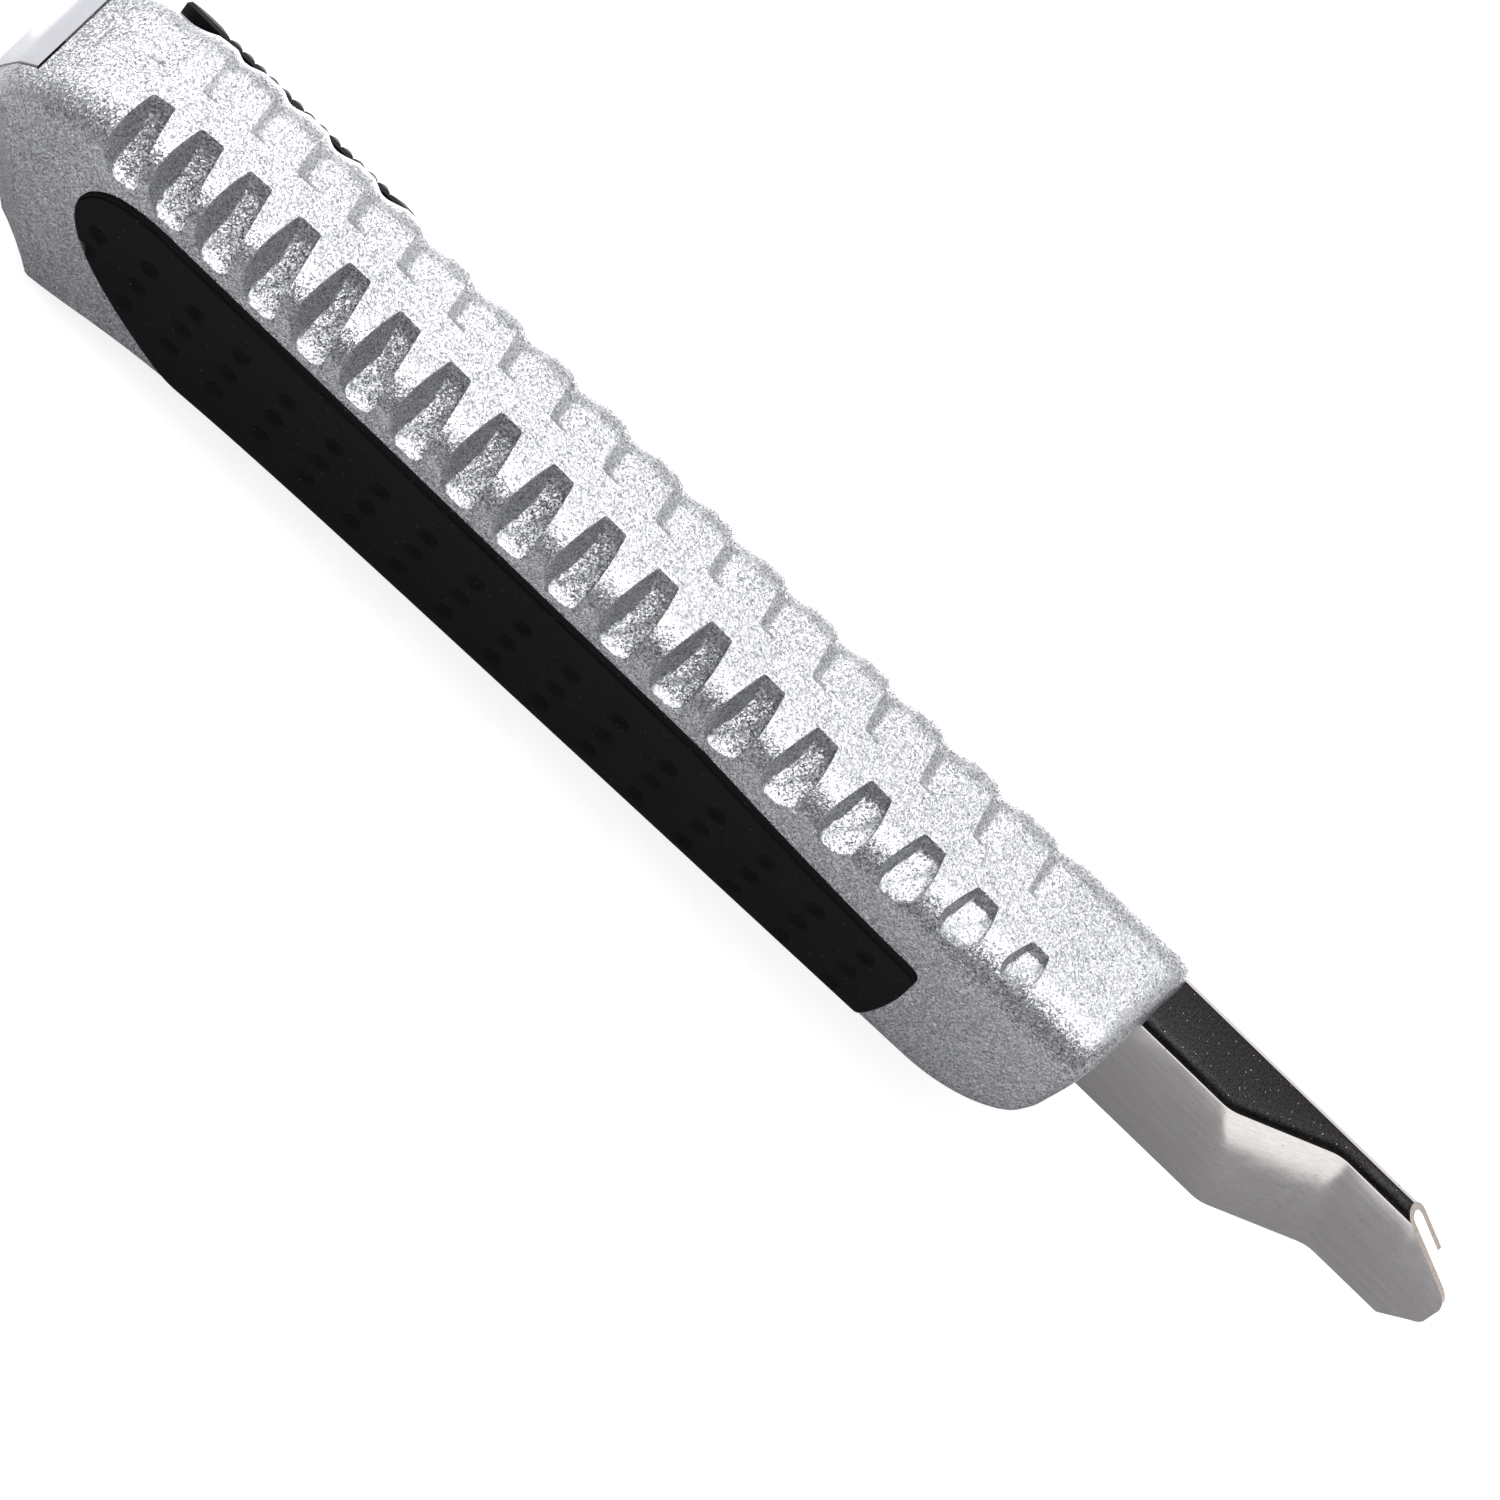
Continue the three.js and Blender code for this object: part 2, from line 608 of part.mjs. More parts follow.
function followerPlate() {
  const low = BLADE_LOW_Z + 0.4;
  const high = BLADE_LOW_Z + BLADE_WIDTH - 0.4;
  const tip = BLADE_TIP_X - 3;
  const outline = polygon([
    [BLADE_REAR_X + 2, low],
    [tip, low],
    [tip - BLADE_SLANT * (high - low), high],
    [BLADE_REAR_X + 2, high],
  ]);
  return toSolid(alongY(outline, FOLLOWER_Y - FOLLOWER_THICK / 2, FOLLOWER_Y + FOLLOWER_THICK / 2));
}

// A bowed strip between x0 and x1, drawn in (x, y) and given its width along Z.
function bowedStrip(x0, x1, yEnds, rise, thick, z0, z1) {
  const steps = 10;
  const line = (i) => [x0 + ((x1 - x0) * i) / steps, yEnds + rise * Math.sin((Math.PI * i) / steps)];
  const points = [];
  for (let i = 0; i <= steps; i += 1) {
    points.push(line(i));
  }
  for (let i = steps; i >= 0; i -= 1) {
    const [x, y] = line(i);
    points.push([x, y + thick]);
  }
  return toSolid(alongZ(polygon(points), z0, z1));
}

function magazineSpring() {
  const ends = CHANNEL_WEB_Y + SHEET + GAP;
  const top = FOLLOWER_Y - FOLLOWER_THICK / 2 - GAP;
  return bowedStrip(62, 122, ends, top - ends - SPRING_THICK, SPRING_THICK, 2, 9.8);
}

// ---- slider ----
const LEG_HALF = 1.5;

function carrierPlate() {
  const outline = new THREE.Shape();
  outline.moveTo(CARRIER_START, SLIDE_Z - CARRIER_HALF);
  outline.lineTo(CARRIER_END - 3, SLIDE_Z - CARRIER_HALF);
  outline.lineTo(CARRIER_END, SLIDE_Z - CARRIER_HALF + 3);
  outline.lineTo(CARRIER_END, SLIDE_Z + CARRIER_HALF - 3);
  outline.lineTo(CARRIER_END - 3, SLIDE_Z + CARRIER_HALF);
  outline.lineTo(CARRIER_START, SLIDE_Z + CARRIER_HALF);
  const plate = toSolid(alongY(outline, CARRIER_Y, CARRIER_Y + CARRIER_THICK));
  return plate.subtract(sliderHoles());
}

// Holes through the block and the plate: the lock leg, the two rivets and the stud shank.
function sliderHoles() {
  const reach = LEG_HALF + GAP;
  const half = LOCK_THICK / 2 + GAP;
  const leg = boxSolid(LOCK_X - half, LOCK_X + half, 6, 10, SLIDE_Z - reach, SLIDE_Z + reach);
  const shanks = RIVET_X.map((x) => toSolid(pinY(x, SLIDE_Z, RIVET_R + GAP, 6, 10)));
  const heads = RIVET_X.map((x) => toSolid(pinY(x, SLIDE_Z, 2.4, BLOCK_TOP_Y - 0.8, 10)));
  const stud = toSolid(pinY(BLADE_HOLE_X, SLIDE_Z, 1.2 + GAP, 6, 8));
  return joinAll([leg, stud, ...shanks, ...heads]);
}

function bladeStud() {
  const lowY = BLADE_Y - BLADE_THICK / 2 - 0.05;
  const boss = toSolid(pinY(BLADE_HOLE_X, SLIDE_Z, BLADE_HOLE_R - GAP, lowY, CARRIER_Y - GAP));
  const shank = toSolid(pinY(BLADE_HOLE_X, SLIDE_Z, 1.2, lowY, CARRIER_Y + CARRIER_THICK));
  return boss.add(shank);
}

function sliderRivet(x) {
  const shank = toSolid(pinY(x, SLIDE_Z, RIVET_R, CARRIER_Y + EPS, BLOCK_TOP_Y - 0.1));
  const head = toSolid(pinY(x, SLIDE_Z, 2.1, BLOCK_TOP_Y - 0.5, BLOCK_TOP_Y - 0.05));
  return shank.add(head);
}

const SPRING_POCKET = [18, 23];

function sliderBlock() {
  const low = SLIDE_Z - BLOCK_HALF;
  const high = SLIDE_Z + BLOCK_HALF;
  const block = boxSolid(BLOCK_START, BLOCK_END, BLOCK_LOW_Y, BLOCK_TOP_Y, low, high);
  const [x0, x1] = SPRING_POCKET;
  const pocket = boxSolid(x0 - 0.4, x1 + 0.4, BLOCK_TOP_Y - 1, BLOCK_TOP_Y + 1, low + 1.2, high - 1.2);
  return block.subtract(sliderHoles()).subtract(pocket);
}

function padSpring() {
  const [x0, x1] = SPRING_POCKET;
  const low = SLIDE_Z - BLOCK_HALF + 1.6;
  const high = SLIDE_Z + BLOCK_HALF - 1.6;
  return bowedStrip(x0, x1, BLOCK_TOP_Y - 0.7, 0.6, 0.25, low, high);
}

// The teeth stand in the lip notches; pressing the pad drops them under the lips.
function lockPlate() {
  const barLow = CHANNEL_LIP_Y - SHEET - 0.45;
  const barTop = CHANNEL_LIP_Y - SHEET - 0.05;
  const toothTop = CHANNEL_LIP_Y - 0.15;
  const legTop = PAD_LOW_Y - GAP;
  const out = CHANNEL_TOP_Z - LIP_WIDTH + NOTCH_DEPTH - GAP - SLIDE_Z;
  const tooth = out - 0.7;
  const half = [
    [barLow, out],
    [toothTop, out],
    [toothTop, tooth],
    [barTop, tooth],
    [barTop, LEG_HALF],
    [legTop, LEG_HALF],
  ];
  const mirrored = half.map(([y, z]) => [y, -z]).reverse();
  const section = polygon([...half, ...mirrored].map(([y, z]) => [y, z + SLIDE_Z]));
  return toSolid(alongX(section, LOCK_X - LOCK_THICK / 2, LOCK_X + LOCK_THICK / 2));
}

// Side view of the pad: a hump at each end and thirteen saw-tooth ridges between them.
function thumbPad() {
  const profile = new THREE.Shape();
  const valley = PAD_TOP_Y - PAD_RIDGE_DEPTH;
  profile.moveTo(PAD_START, PAD_LOW_Y);
  profile.lineTo(PAD_END, PAD_LOW_Y);
  profile.quadraticCurveTo(PAD_END, PAD_TOP_Y - 0.1, PAD_END - 2, PAD_TOP_Y);
  for (let i = PAD_RIDGES - 1; i >= 0; i -= 1) {
    const peak = PAD_RIDGE_START + i * PAD_RIDGE_PITCH;
    profile.lineTo(peak + PAD_RIDGE_PITCH / 2, valley);
    profile.lineTo(peak + 0.2, PAD_TOP_Y - 0.1);
    profile.lineTo(peak - 0.2, PAD_TOP_Y - 0.1);
  }
  profile.lineTo(PAD_RIDGE_START - PAD_RIDGE_PITCH / 2, valley);
  profile.lineTo(5, PAD_TOP_Y);
  profile.lineTo(3.5, PAD_TOP_Y);
  profile.quadraticCurveTo(PAD_START, PAD_TOP_Y - 0.2, PAD_START, PAD_LOW_Y);
  const body = toSolid(alongZ(profile, SLIDE_Z - PAD_HALF, SLIDE_Z + PAD_HALF, 3));
  const edge = 0.5;
  const section = polygon([
    [PAD_LOW_Y - 1, SLIDE_Z - PAD_HALF],
    [PAD_TOP_Y - edge, SLIDE_Z - PAD_HALF],
    [PAD_TOP_Y + EPS, SLIDE_Z - PAD_HALF + edge],
    [PAD_TOP_Y + EPS, SLIDE_Z + PAD_HALF - edge],
    [PAD_TOP_Y - edge, SLIDE_Z + PAD_HALF],
    [PAD_LOW_Y - 1, SLIDE_Z + PAD_HALF],
  ]);
  return body.intersect(toSolid(alongX(section, PAD_START - 1, PAD_END + 1)));
}

// ---- end cap ----
const PLUG_FRONT = -0.6;
const PLUG_INSET = 1.2;
const CLIP_Y = 3.4;
const CLIP_Z = [0.6, 6.2];

// The cap is the tail of the body's own form with a plug that fills the opening of the tail room.
function endCap() {
  const [y0, y1] = CAVITY_Y;
  const [z0] = CAVITY_Z;
  const top = TAIL_ROOF[0][1] - GAP;
  const plugOutline = polygon([
    [TAIL_X - TAIL_LEAN * z0 + PLUG_INSET, z0 + GAP],
    [PLUG_FRONT, z0 + GAP],
    [PLUG_FRONT, top],
    [CAP_FRONT_X, top],
    [TAIL_X - TAIL_LEAN * CAP_BREAK_Z + PLUG_INSET, CAP_BREAK_Z],
  ]);
  const plug = toSolid(alongY(plugOutline, y0 + GAP, y1 - GAP));
  const [low, high] = CLIP_Z;
  const slot = boxSolid(-4, 1, CLIP_Y - 0.5, CLIP_Y + 0.5, low - 0.4, high + 0.4);
  return bodyForm(0).intersect(capRegion(0)).add(plug).subtract(slot);
}

function capClip() {
  const points = [
    [-3.7, CLIP_Y - 0.2],
    [-0.2, CLIP_Y - 0.2],
    [1.2, CLIP_Y - 0.9],
    [1.6, CLIP_Y - 0.7],
    [0, CLIP_Y + 0.2],
    [-3.7, CLIP_Y + 0.2],
  ];
  return toSolid(alongZ(polygon(points), ...CLIP_Z));
}

// ---- assembly ----
function piece(name, solid, color, metalness, roughness) {
  const material = new THREE.MeshStandardMaterial({ color, metalness, roughness });
  const mesh = new THREE.Mesh(toGeometry(solid), material);
  mesh.name = name;
  return mesh;
}

const paint = ['#b5b7bd', 0.6, 0.45];
const rubber = ['#262628', 0, 0.9];
const steel = ['#a8a6a6', 1, 0.25];
const blackPlastic = ['#1a1a1b', 0, 0.5];
const greyPlastic = ['#8f9096', 0, 0.3];

const cap = new THREE.Group();
cap.add(piece('end_cap', endCap(), ...greyPlastic));
cap.add(piece('cap_clip', capClip(), ...steel));

const pad = new THREE.Group();
pad.add(piece('thumb_pad', thumbPad(), ...blackPlastic));
pad.add(piece('lock_plate', lockPlate(), ...steel));

const slider = new THREE.Group();
slider.add(piece('slider_block', sliderBlock(), ...blackPlastic));
slider.add(piece('carrier_plate', carrierPlate(), ...steel));
slider.add(piece('blade_stud', bladeStud(), ...steel));
slider.add(piece('slider_rivet_rear', sliderRivet(RIVET_X[0]), ...steel));
slider.add(piece('slider_rivet_front', sliderRivet(RIVET_X[1]), ...steel));
slider.add(piece('pad_spring', padSpring(), ...steel));
slider.add(piece('blade', snapBlade(BLADE_Y), ...steel));
slider.add(pad);

const knife = new THREE.Group();
knife.add(piece('body_casting', bodyCasting(), ...paint));
knife.add(piece('grip_inlay', gripInlay(), ...rubber));
knife.add(piece('blade_channel', bladeChannel(), ...steel));
knife.add(piece('channel_pin_front', channelPin(PIN_X[0]), ...steel));
knife.add(piece('channel_pin_rear', channelPin(PIN_X[1]), ...steel));
knife.add(piece('follower_plate', followerPlate(), ...steel));
knife.add(piece('magazine_spring', magazineSpring(), ...steel));
SPARE_Y.forEach((y, i) => knife.add(piece(`spare_blade_${i + 1}`, snapBlade(y), ...steel)));
knife.add(slider);
knife.add(cap);

// The origin is under the middle of the knife, at the height of its lowest point.
const extent = new THREE.Box3().setFromObject(knife);
const middle = extent.getCenter(new THREE.Vector3());
knife.position.set(-middle.x, -middle.y, -extent.min.z);

export default knife;
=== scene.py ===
import math
import bpy
import numpy as np
from mathutils import Matrix, Vector


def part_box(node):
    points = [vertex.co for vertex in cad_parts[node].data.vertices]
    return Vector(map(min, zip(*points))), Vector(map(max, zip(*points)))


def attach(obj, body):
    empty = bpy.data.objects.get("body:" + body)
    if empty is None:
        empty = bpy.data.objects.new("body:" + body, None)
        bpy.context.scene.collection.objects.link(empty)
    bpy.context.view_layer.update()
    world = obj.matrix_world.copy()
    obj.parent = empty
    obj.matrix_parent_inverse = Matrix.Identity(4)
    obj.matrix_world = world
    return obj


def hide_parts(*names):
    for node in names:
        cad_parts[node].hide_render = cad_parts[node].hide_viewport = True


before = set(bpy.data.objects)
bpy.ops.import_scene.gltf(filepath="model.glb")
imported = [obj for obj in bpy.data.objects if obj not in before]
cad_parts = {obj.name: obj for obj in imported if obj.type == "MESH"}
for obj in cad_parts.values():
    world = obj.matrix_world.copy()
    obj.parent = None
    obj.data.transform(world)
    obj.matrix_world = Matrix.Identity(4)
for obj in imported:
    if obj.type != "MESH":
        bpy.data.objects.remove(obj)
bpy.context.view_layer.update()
print("frame loaded:", len(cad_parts), "nodes")

# Shapes are worked out in millimetres from the knife's own zero: x from just in front of the
# tail, y from the middle of the body to the thumb side, z from about the middle of the body up
# to the spine. knifeZero is that point in the frame, found from the slider block's low corner.
blockCorner = np.array([2.5, 7.75, 1.9])
knifeZero = np.array(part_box("slider_block")[0]) * 1000 - blockCorner


def inFrame(points):
    return (np.asarray(points, dtype=float) + knifeZero) / 1000


# A plain step from 0 to 1 with soft ends.
def ease(value, low=0.0, high=1.0):
    part = np.clip((value - low) / (high - low), 0, 1)
    return part * part * (3 - 2 * part)


def placed(name, data):
    thing = bpy.data.objects.new(name, data)
    bpy.context.scene.collection.objects.link(thing)
    return thing


def newObject(name, points, faces):
    mesh = bpy.data.meshes.new(name)
    mesh.from_pydata(inFrame(points).tolist(), [], faces)
    mesh.validate()
    mesh.update()
    return placed(name, mesh)


# A grid of rows by columns as a closed tube of quads: the last row joins the first, and the two
# end columns are closed with one flat face each.
def tube(name, grid, flip=False):
    rows, columns = grid.shape[:2]
    index = np.arange(rows * columns).reshape(rows, columns)
    after = np.roll(index, -1, axis=0)
    quads = np.stack([index[:, :-1], index[:, 1:], after[:, 1:], after[:, :-1]], axis=-1).reshape(-1, 4)
    firstEnd, lastEnd = index[:, 0], index[::-1, -1]
    if flip:
        quads, firstEnd, lastEnd = quads[:, ::-1], firstEnd[::-1], lastEnd[::-1]
    return newObject(name, grid.reshape(-1, 3), [*quads.tolist(), firstEnd.tolist(), lastEnd.tolist()])


# A flat outline carried straight along one axis (0, 1 or 2) from low to high.
def prism(name, outline, axis, low, high):
    outline = np.asarray(outline, dtype=float)
    follow = np.roll(outline, -1, axis=0)
    area = np.sum(outline[:, 0] * follow[:, 1] - follow[:, 0] * outline[:, 1])
    if (area > 0) == (axis == 1):
        outline = outline[::-1]
    count = len(outline)
    points = np.vstack([np.insert(outline, axis, level, axis=1) for level in (low, high)])
    step = np.arange(count)
    after = (step + 1) % count
    sides = np.stack([step, after, after + count, step + count], axis=1).tolist()
    return newObject(name, points, sides + [step[::-1].tolist(), (step + count).tolist()])


# Points on a circle from one angle to another, in degrees.
def arc(centre, radius, fromAngle, toAngle, steps=8):
    angle = np.radians(np.linspace(fromAngle, toAngle, steps + 1))
    return np.stack([centre[0] + radius * np.cos(angle), centre[1] + radius * np.sin(angle)], axis=1)


# Points of a quadratic curve between two points with one handle.
def bow(start, handle, end, steps=10):
    t = np.linspace(0, 1, steps + 1)[:, None]
    start, handle, end = (np.array(p, dtype=float) for p in (start, handle, end))
    return (1 - t) ** 2 * start + 2 * t * (1 - t) * handle + t ** 2 * end


def roundedBox(low, high, r):
    (x0, z0), (x1, z1) = low, high
    return np.vstack([arc((x1 - r, z0 + r), r, -90, 0), arc((x1 - r, z1 - r), r, 0, 90),
                      arc((x0 + r, z1 - r), r, 90, 180), arc((x0 + r, z0 + r), r, 180, 270)])


def cut(piece, cutters, operation="DIFFERENCE"):
    for cutter in cutters:
        modifier = piece.modifiers.new("cut", "BOOLEAN")
        modifier.operation = operation
        modifier.solver = "MANIFOLD"
        modifier.object = cutter
    old = piece.data
    baked = bpy.data.meshes.new_from_object(piece.evaluated_get(bpy.context.evaluated_depsgraph_get()))
    piece.modifiers.clear()
    piece.data = baked
    bpy.data.meshes.remove(old)
    for cutter in cutters:
        bpy.data.objects.remove(cutter)
    return piece


def smoothed(piece, degrees):
    piece.data.shade_smooth()
    piece.data.set_sharp_from_angle(angle=math.radians(degrees))
    return piece


def linear(code):
    values = [int(code[i:i + 2], 16) / 255 for i in (1, 3, 5)]
    return [v / 12.92 if v <= 0.04045 else ((v + 0.055) / 1.055) ** 2.4 for v in values] + [1.0]


def join(tree, node, links):
    for socket, source in links.items():
        tree.links.new(source, node.inputs[socket])


# One node: links feed its sockets, values fill them, settings are its own properties.
def addNode(tree, kind, links=None, values=None, **settings):
    node = tree.nodes.new("ShaderNode" + kind)
    for key, value in settings.items():
        setattr(node, key, value)
    for socket, value in (values or {}).items():
        node.inputs[socket].default_value = linear(value) if isinstance(value, str) else value
    join(tree, node, links or {})
    return node


# The ends of a change of range, as a node's values.
def ends(fromEnds, toEnds):
    return dict(zip(("From Min", "From Max", "To Min", "To Max"), (*fromEnds, *toEnds)))


# A bare material: its tree, its shader with the fixed values set, and the object coordinates.
def newMaterial(name, **values):
    material = bpy.data.materials.new(name)
    material.use_nodes = True
    tree = material.node_tree
    tree.nodes.clear()
    shader = addNode(tree, "BsdfPrincipled",
                     values={socket.replace("_", " "): value for socket, value in values.items()})
    addNode(tree, "OutputMaterial", {"Surface": shader.outputs["BSDF"]})
    place = addNode(tree, "TexCoord").outputs["Object"]
    return material, tree, shader, place


# Silver metal-flake lacquer over cast zinc, sprayed and stoved: aluminium flakes lie at small
# random angles under a clear coat, so it glitters white and grey in the light and is calm and
# grey in the shade. The real flakes are finer than 0.1 mm, and are drawn coarser to show.
flakes = {"grainMm": 0.15, "dark": "#4b4d53", "light": "#c9cace", "metallic": 0.72, "rough": (0.24, 0.46),
          "coat": 0.2, "coatRough": 0.2, "cloudMm": 12.5, "cloudShare": 0.25, "toneEnds": (0.05, 1.2),
          "reliefMm": 0.3, "bumpMm": 0.05, "tilt": 0.5}


def flakeLacquer():
    material, tree, shader, place = newMaterial("flakeLacquer", Metallic=flakes["metallic"],
                                                Coat_Weight=flakes["coat"],
                                                Coat_Roughness=flakes["coatRough"])
    # flakes: one random value per cell of the grain size, for tone, sheen and tilt
    cells = addNode(tree, "TexVoronoi", {"Vector": place}, {"Scale": 1000 / flakes["grainMm"]})
    each = addNode(tree, "SeparateColor", {"Color": cells.outputs["Color"]})
    relief = addNode(tree, "TexNoise", {"Vector": place},
                     {"Scale": 1000 / flakes["reliefMm"], "Detail": 2.0, "Roughness": 0.65})
    cloud = addNode(tree, "TexNoise", {"Vector": place}, {"Scale": 1000 / flakes["cloudMm"], "Detail": 3.0})
    # tone = flake value + a faint cloud of the spray
    spray = addNode(tree, "Math", {0: cloud.outputs["Fac"], 2: each.outputs["Red"]},
                    {1: flakes["cloudShare"]}, operation="MULTIPLY_ADD")
    tone = addNode(tree, "MapRange", {"Value": spray.outputs[0]}, ends(flakes["toneEnds"], (0, 1)))
    colour = addNode(tree, "Mix", {0: tone.outputs[0]}, {6: flakes["dark"], 7: flakes["light"]},
                     data_type="RGBA")
    sheen = addNode(tree, "MapRange", {"Value": each.outputs["Green"]}, ends((0, 1), flakes["rough"]))
    # normal = relief of the spray + the flake's own random tilt, brought back to unit length
    bump = addNode(tree, "Bump", {"Height": relief.outputs["Fac"]},
                   {"Strength": 1.0, "Distance": flakes["bumpMm"] / 1000})
    centred = addNode(tree, "VectorMath", {0: cells.outputs["Color"]}, {1: (0.5, 0.5, 0.5)},
                      operation="SUBTRACT")
    leaned = addNode(tree, "VectorMath", {0: centred.outputs[0], 2: bump.outputs["Normal"]},
                     {1: [flakes["tilt"]] * 3}, operation="MULTIPLY_ADD")
    unit = addNode(tree, "VectorMath", {0: leaned.outputs[0]}, operation="NORMALIZE")
    join(tree, shader, {"Base Color": colour.outputs[2], "Roughness": sheen.outputs[0],
                        "Normal": unit.outputs[0]})
    return material


# The end of most surfaces. Colour = base, with the mark's colour mixed in where the centre of a
# cell is near: a speck of dust on the rubber, a dark pit on the metals, and a painted glint on the
# strip's walls. Roughness follows a cloud of handling marks, and relief follows a height.
def finishSurface(tree, shader, place, grade, base, cloud, height):
    if "markAndGlint" in grade:
        cells = addNode(tree, "TexVoronoi", {"Vector": place}, {"Scale": grade["markPerM"]})
        near = addNode(tree, "MapRange", {"Value": cells.outputs["Distance"]},
                       ends(grade["markEdge"], (grade["markShare"], 0.0)))
        marked = addNode(tree, "Mix", {0: near.outputs[0], 6: base}, {7: grade["markAndGlint"]}, data_type="RGBA")
        base = marked.outputs[2]
    sheen = addNode(tree, "MapRange", {"Value": cloud}, ends(grade["cloudEnds"], grade["rough"]))
    bump = addNode(tree, "Bump", {"Height": height},
                   {"Strength": grade["bump"], "Distance": grade["bumpMm"] / 1000})
    join(tree, shader, {"Base Color": base, "Roughness": sheen.outputs[0], "Normal": bump.outputs["Normal"]})


# What the moulded materials share unless one of them says otherwise.
mouldedWear = {"cloudPerM": 110.0, "cloudEnds": (0.3, 0.7), "bump": 0.6, "coat": 0.0, "coatRough": 0.12}
mouldings = {
    # nitrile rubber from a spark-eroded mould: dull black with a slight bloom and faint pale
    # specks of dust, about one in a square millimetre
    "mouldedRubber": {"grainMm": 0.35, "dark": "#080809", "light": "#121214", "rough": (0.5, 0.65),
                      "bumpMm": 0.03, "specular": 0.035, "coatRough": 0.03, "cloudPerM": 130.0,
                      "cloudEnds": (0, 1), "markAndGlint": "#55555b", "markPerM": 900.0, "markEdge": (0.03, 0.1),
                      "markShare": 0.5},
    # thumb pad: nylon with a satin grain, black
    "satinNylon": {"grainMm": 0.22, "dark": "#0c0c0d", "light": "#1b1b1d", "rough": (0.38, 0.5),
                   "bumpMm": 0.02, "specular": 0.12},
    # block behind the pad: acetal, black, smoother and slightly waxy
    "blackAcetal": {"grainMm": 0.4, "dark": "#0e0e0f", "light": "#18181a", "rough": (0.3, 0.4),
                    "bumpMm": 0.008, "specular": 0.3},
    # end cap: ABS sprayed silver-grey, glossy over a faint orange peel
    "silverAbs": {"grainMm": 0.6, "dark": "#8c8d93", "light": "#a3a4aa", "rough": (0.2, 0.3),
                  "bumpMm": 0.01, "coat": 0.5, "specular": 0.5},
}


# Moulded rubber or plastic: the eroded mould leaves a fine grain in the relief, and bloom or
# handling leaves a soft cloud in tone and roughness.
def moulded(name):
    grade = {**mouldedWear, **mouldings[name]}
    material, tree, shader, place = newMaterial(name, Specular_IOR_Level=grade["specular"],
                                                Coat_Weight=grade["coat"],
                                                Coat_Roughness=grade["coatRough"])
    grain = addNode(tree, "TexNoise", {"Vector": place}, {"Scale": 1000 / grade["grainMm"], "Detail": 2.0})
    cloud = addNode(tree, "TexNoise", {"Vector": place}, {"Scale": grade["cloudPerM"], "Detail": 4.0})
    base = addNode(tree, "Mix", {0: cloud.outputs["Fac"]}, {6: grade["dark"], 7: grade["light"]},
                   data_type="RGBA")
    finishSurface(tree, shader, place, grade, base.outputs[2], cloud.outputs["Fac"], grain.outputs["Fac"])
    return material


# What the metals share unless one of them says otherwise.
metalWear = {"metallic": 1.0, "cloudPerM": 240.0, "cloudEnds": (0.3, 0.7), "markAndGlint": "#3a3838",
             "markPerM": 625.0, "markEdge": (0.04, 0.09), "markShare": 0.5, "bump": 0.4}
metals = {
    # cold-rolled strip, folded and nickel-plated: satin, with faint rolling lines along it
    "nickelStrip": {"lineMm": 0.35, "stretch": 18, "axis": 0, "dark": "#d3cfcc", "light": "#e2dedb",
                    "rough": (0.1, 0.18), "bumpMm": 0.002},
    # the same strip where the fold drew it out: rough, with its dark reflection painted in as a near-black
    # colour, and bright nicks that are scratches with painted glints
    "drawnWallPaintedDark": {"lineMm": 0.14, "stretch": 1.6, "axis": 0, "dark": "#020202", "light": "#2d2b2b",
                      "rough": (0.3, 0.5), "bumpMm": 0.06, "metallic": 0.9, "markAndGlint": "#d8d2ce",
                      "markPerM": 2000.0, "markShare": 0.9},
    # sheared edge of the strip under the plating: pale and a little warm
    "shearedEdge": {"lineMm": 0.15, "stretch": 4, "axis": 1, "dark": "#968d87", "light": "#b8aea8",
                    "rough": (0.3, 0.42), "bumpMm": 0.01, "metallic": 0.7},
    # carbon tool steel, hardened and ground across the width: a clean bright grind
    "groundBladeSteel": {"lineMm": 0.12, "stretch": 25, "axis": 2, "dark": "#9fa1a4", "light": "#b4b6b9",
                         "rough": (0.18, 0.3), "bumpMm": 0.004},
    # pressed mild steel, zinc-plated: greyer, with a soft cloud from the plating bath
    "pressedZincPlate": {"lineMm": 0.5, "stretch": 6, "axis": 0, "dark": "#86888b", "light": "#a0a2a5",
                         "rough": (0.28, 0.42), "bumpMm": 0.006},
    # hard-rolled spring strip, blued by tempering: dark with a brown-blue cast
    "temperedSpring": {"lineMm": 0.2, "stretch": 20, "axis": 0, "dark": "#4d4b50", "light": "#66646b",
                       "rough": (0.22, 0.34), "bumpMm": 0.004},
    # turned free-cutting steel for pins and rivets: bright with rings too fine to count
    "turnedSteel": {"lineMm": 0.1, "stretch": 12, "axis": 2, "dark": "#94969a", "light": "#acaeb2",
                    "rough": (0.2, 0.32), "bumpMm": 0.005},
}


# Bare or plated steel: tone and relief follow the lines of rolling or grinding, stretched along
# one axis; its marks are small dark pits, and on the strip's walls bright nicks that are painted glints.
def metalFinish(name):
    grade = {**metalWear, **metals[name]}
    material, tree, shader, place = newMaterial(name, Metallic=grade["metallic"])
    across = [1000 / grade["lineMm"]] * 3
    across[grade["axis"]] = 1000 / grade["lineMm"] / grade["stretch"]
    spread = addNode(tree, "Mapping", {"Vector": place}, {"Scale": across})
    lines = addNode(tree, "TexNoise", {"Vector": spread.outputs[0]}, {"Scale": 1.0, "Detail": 3.0})
    cloud = addNode(tree, "TexNoise", {"Vector": place}, {"Scale": grade["cloudPerM"], "Detail": 4.0})
    tone = addNode(tree, "MapRange", {"Value": lines.outputs["Fac"]}, ends((0.3, 0.7), (0, 1)))
    base = addNode(tree, "Mix", {0: tone.outputs[0]}, {6: grade["dark"], 7: grade["light"]}, data_type="RGBA")
    finishSurface(tree, shader, place, grade, base.outputs[2], cloud.outputs["Fac"], lines.outputs["Fac"])
    return material


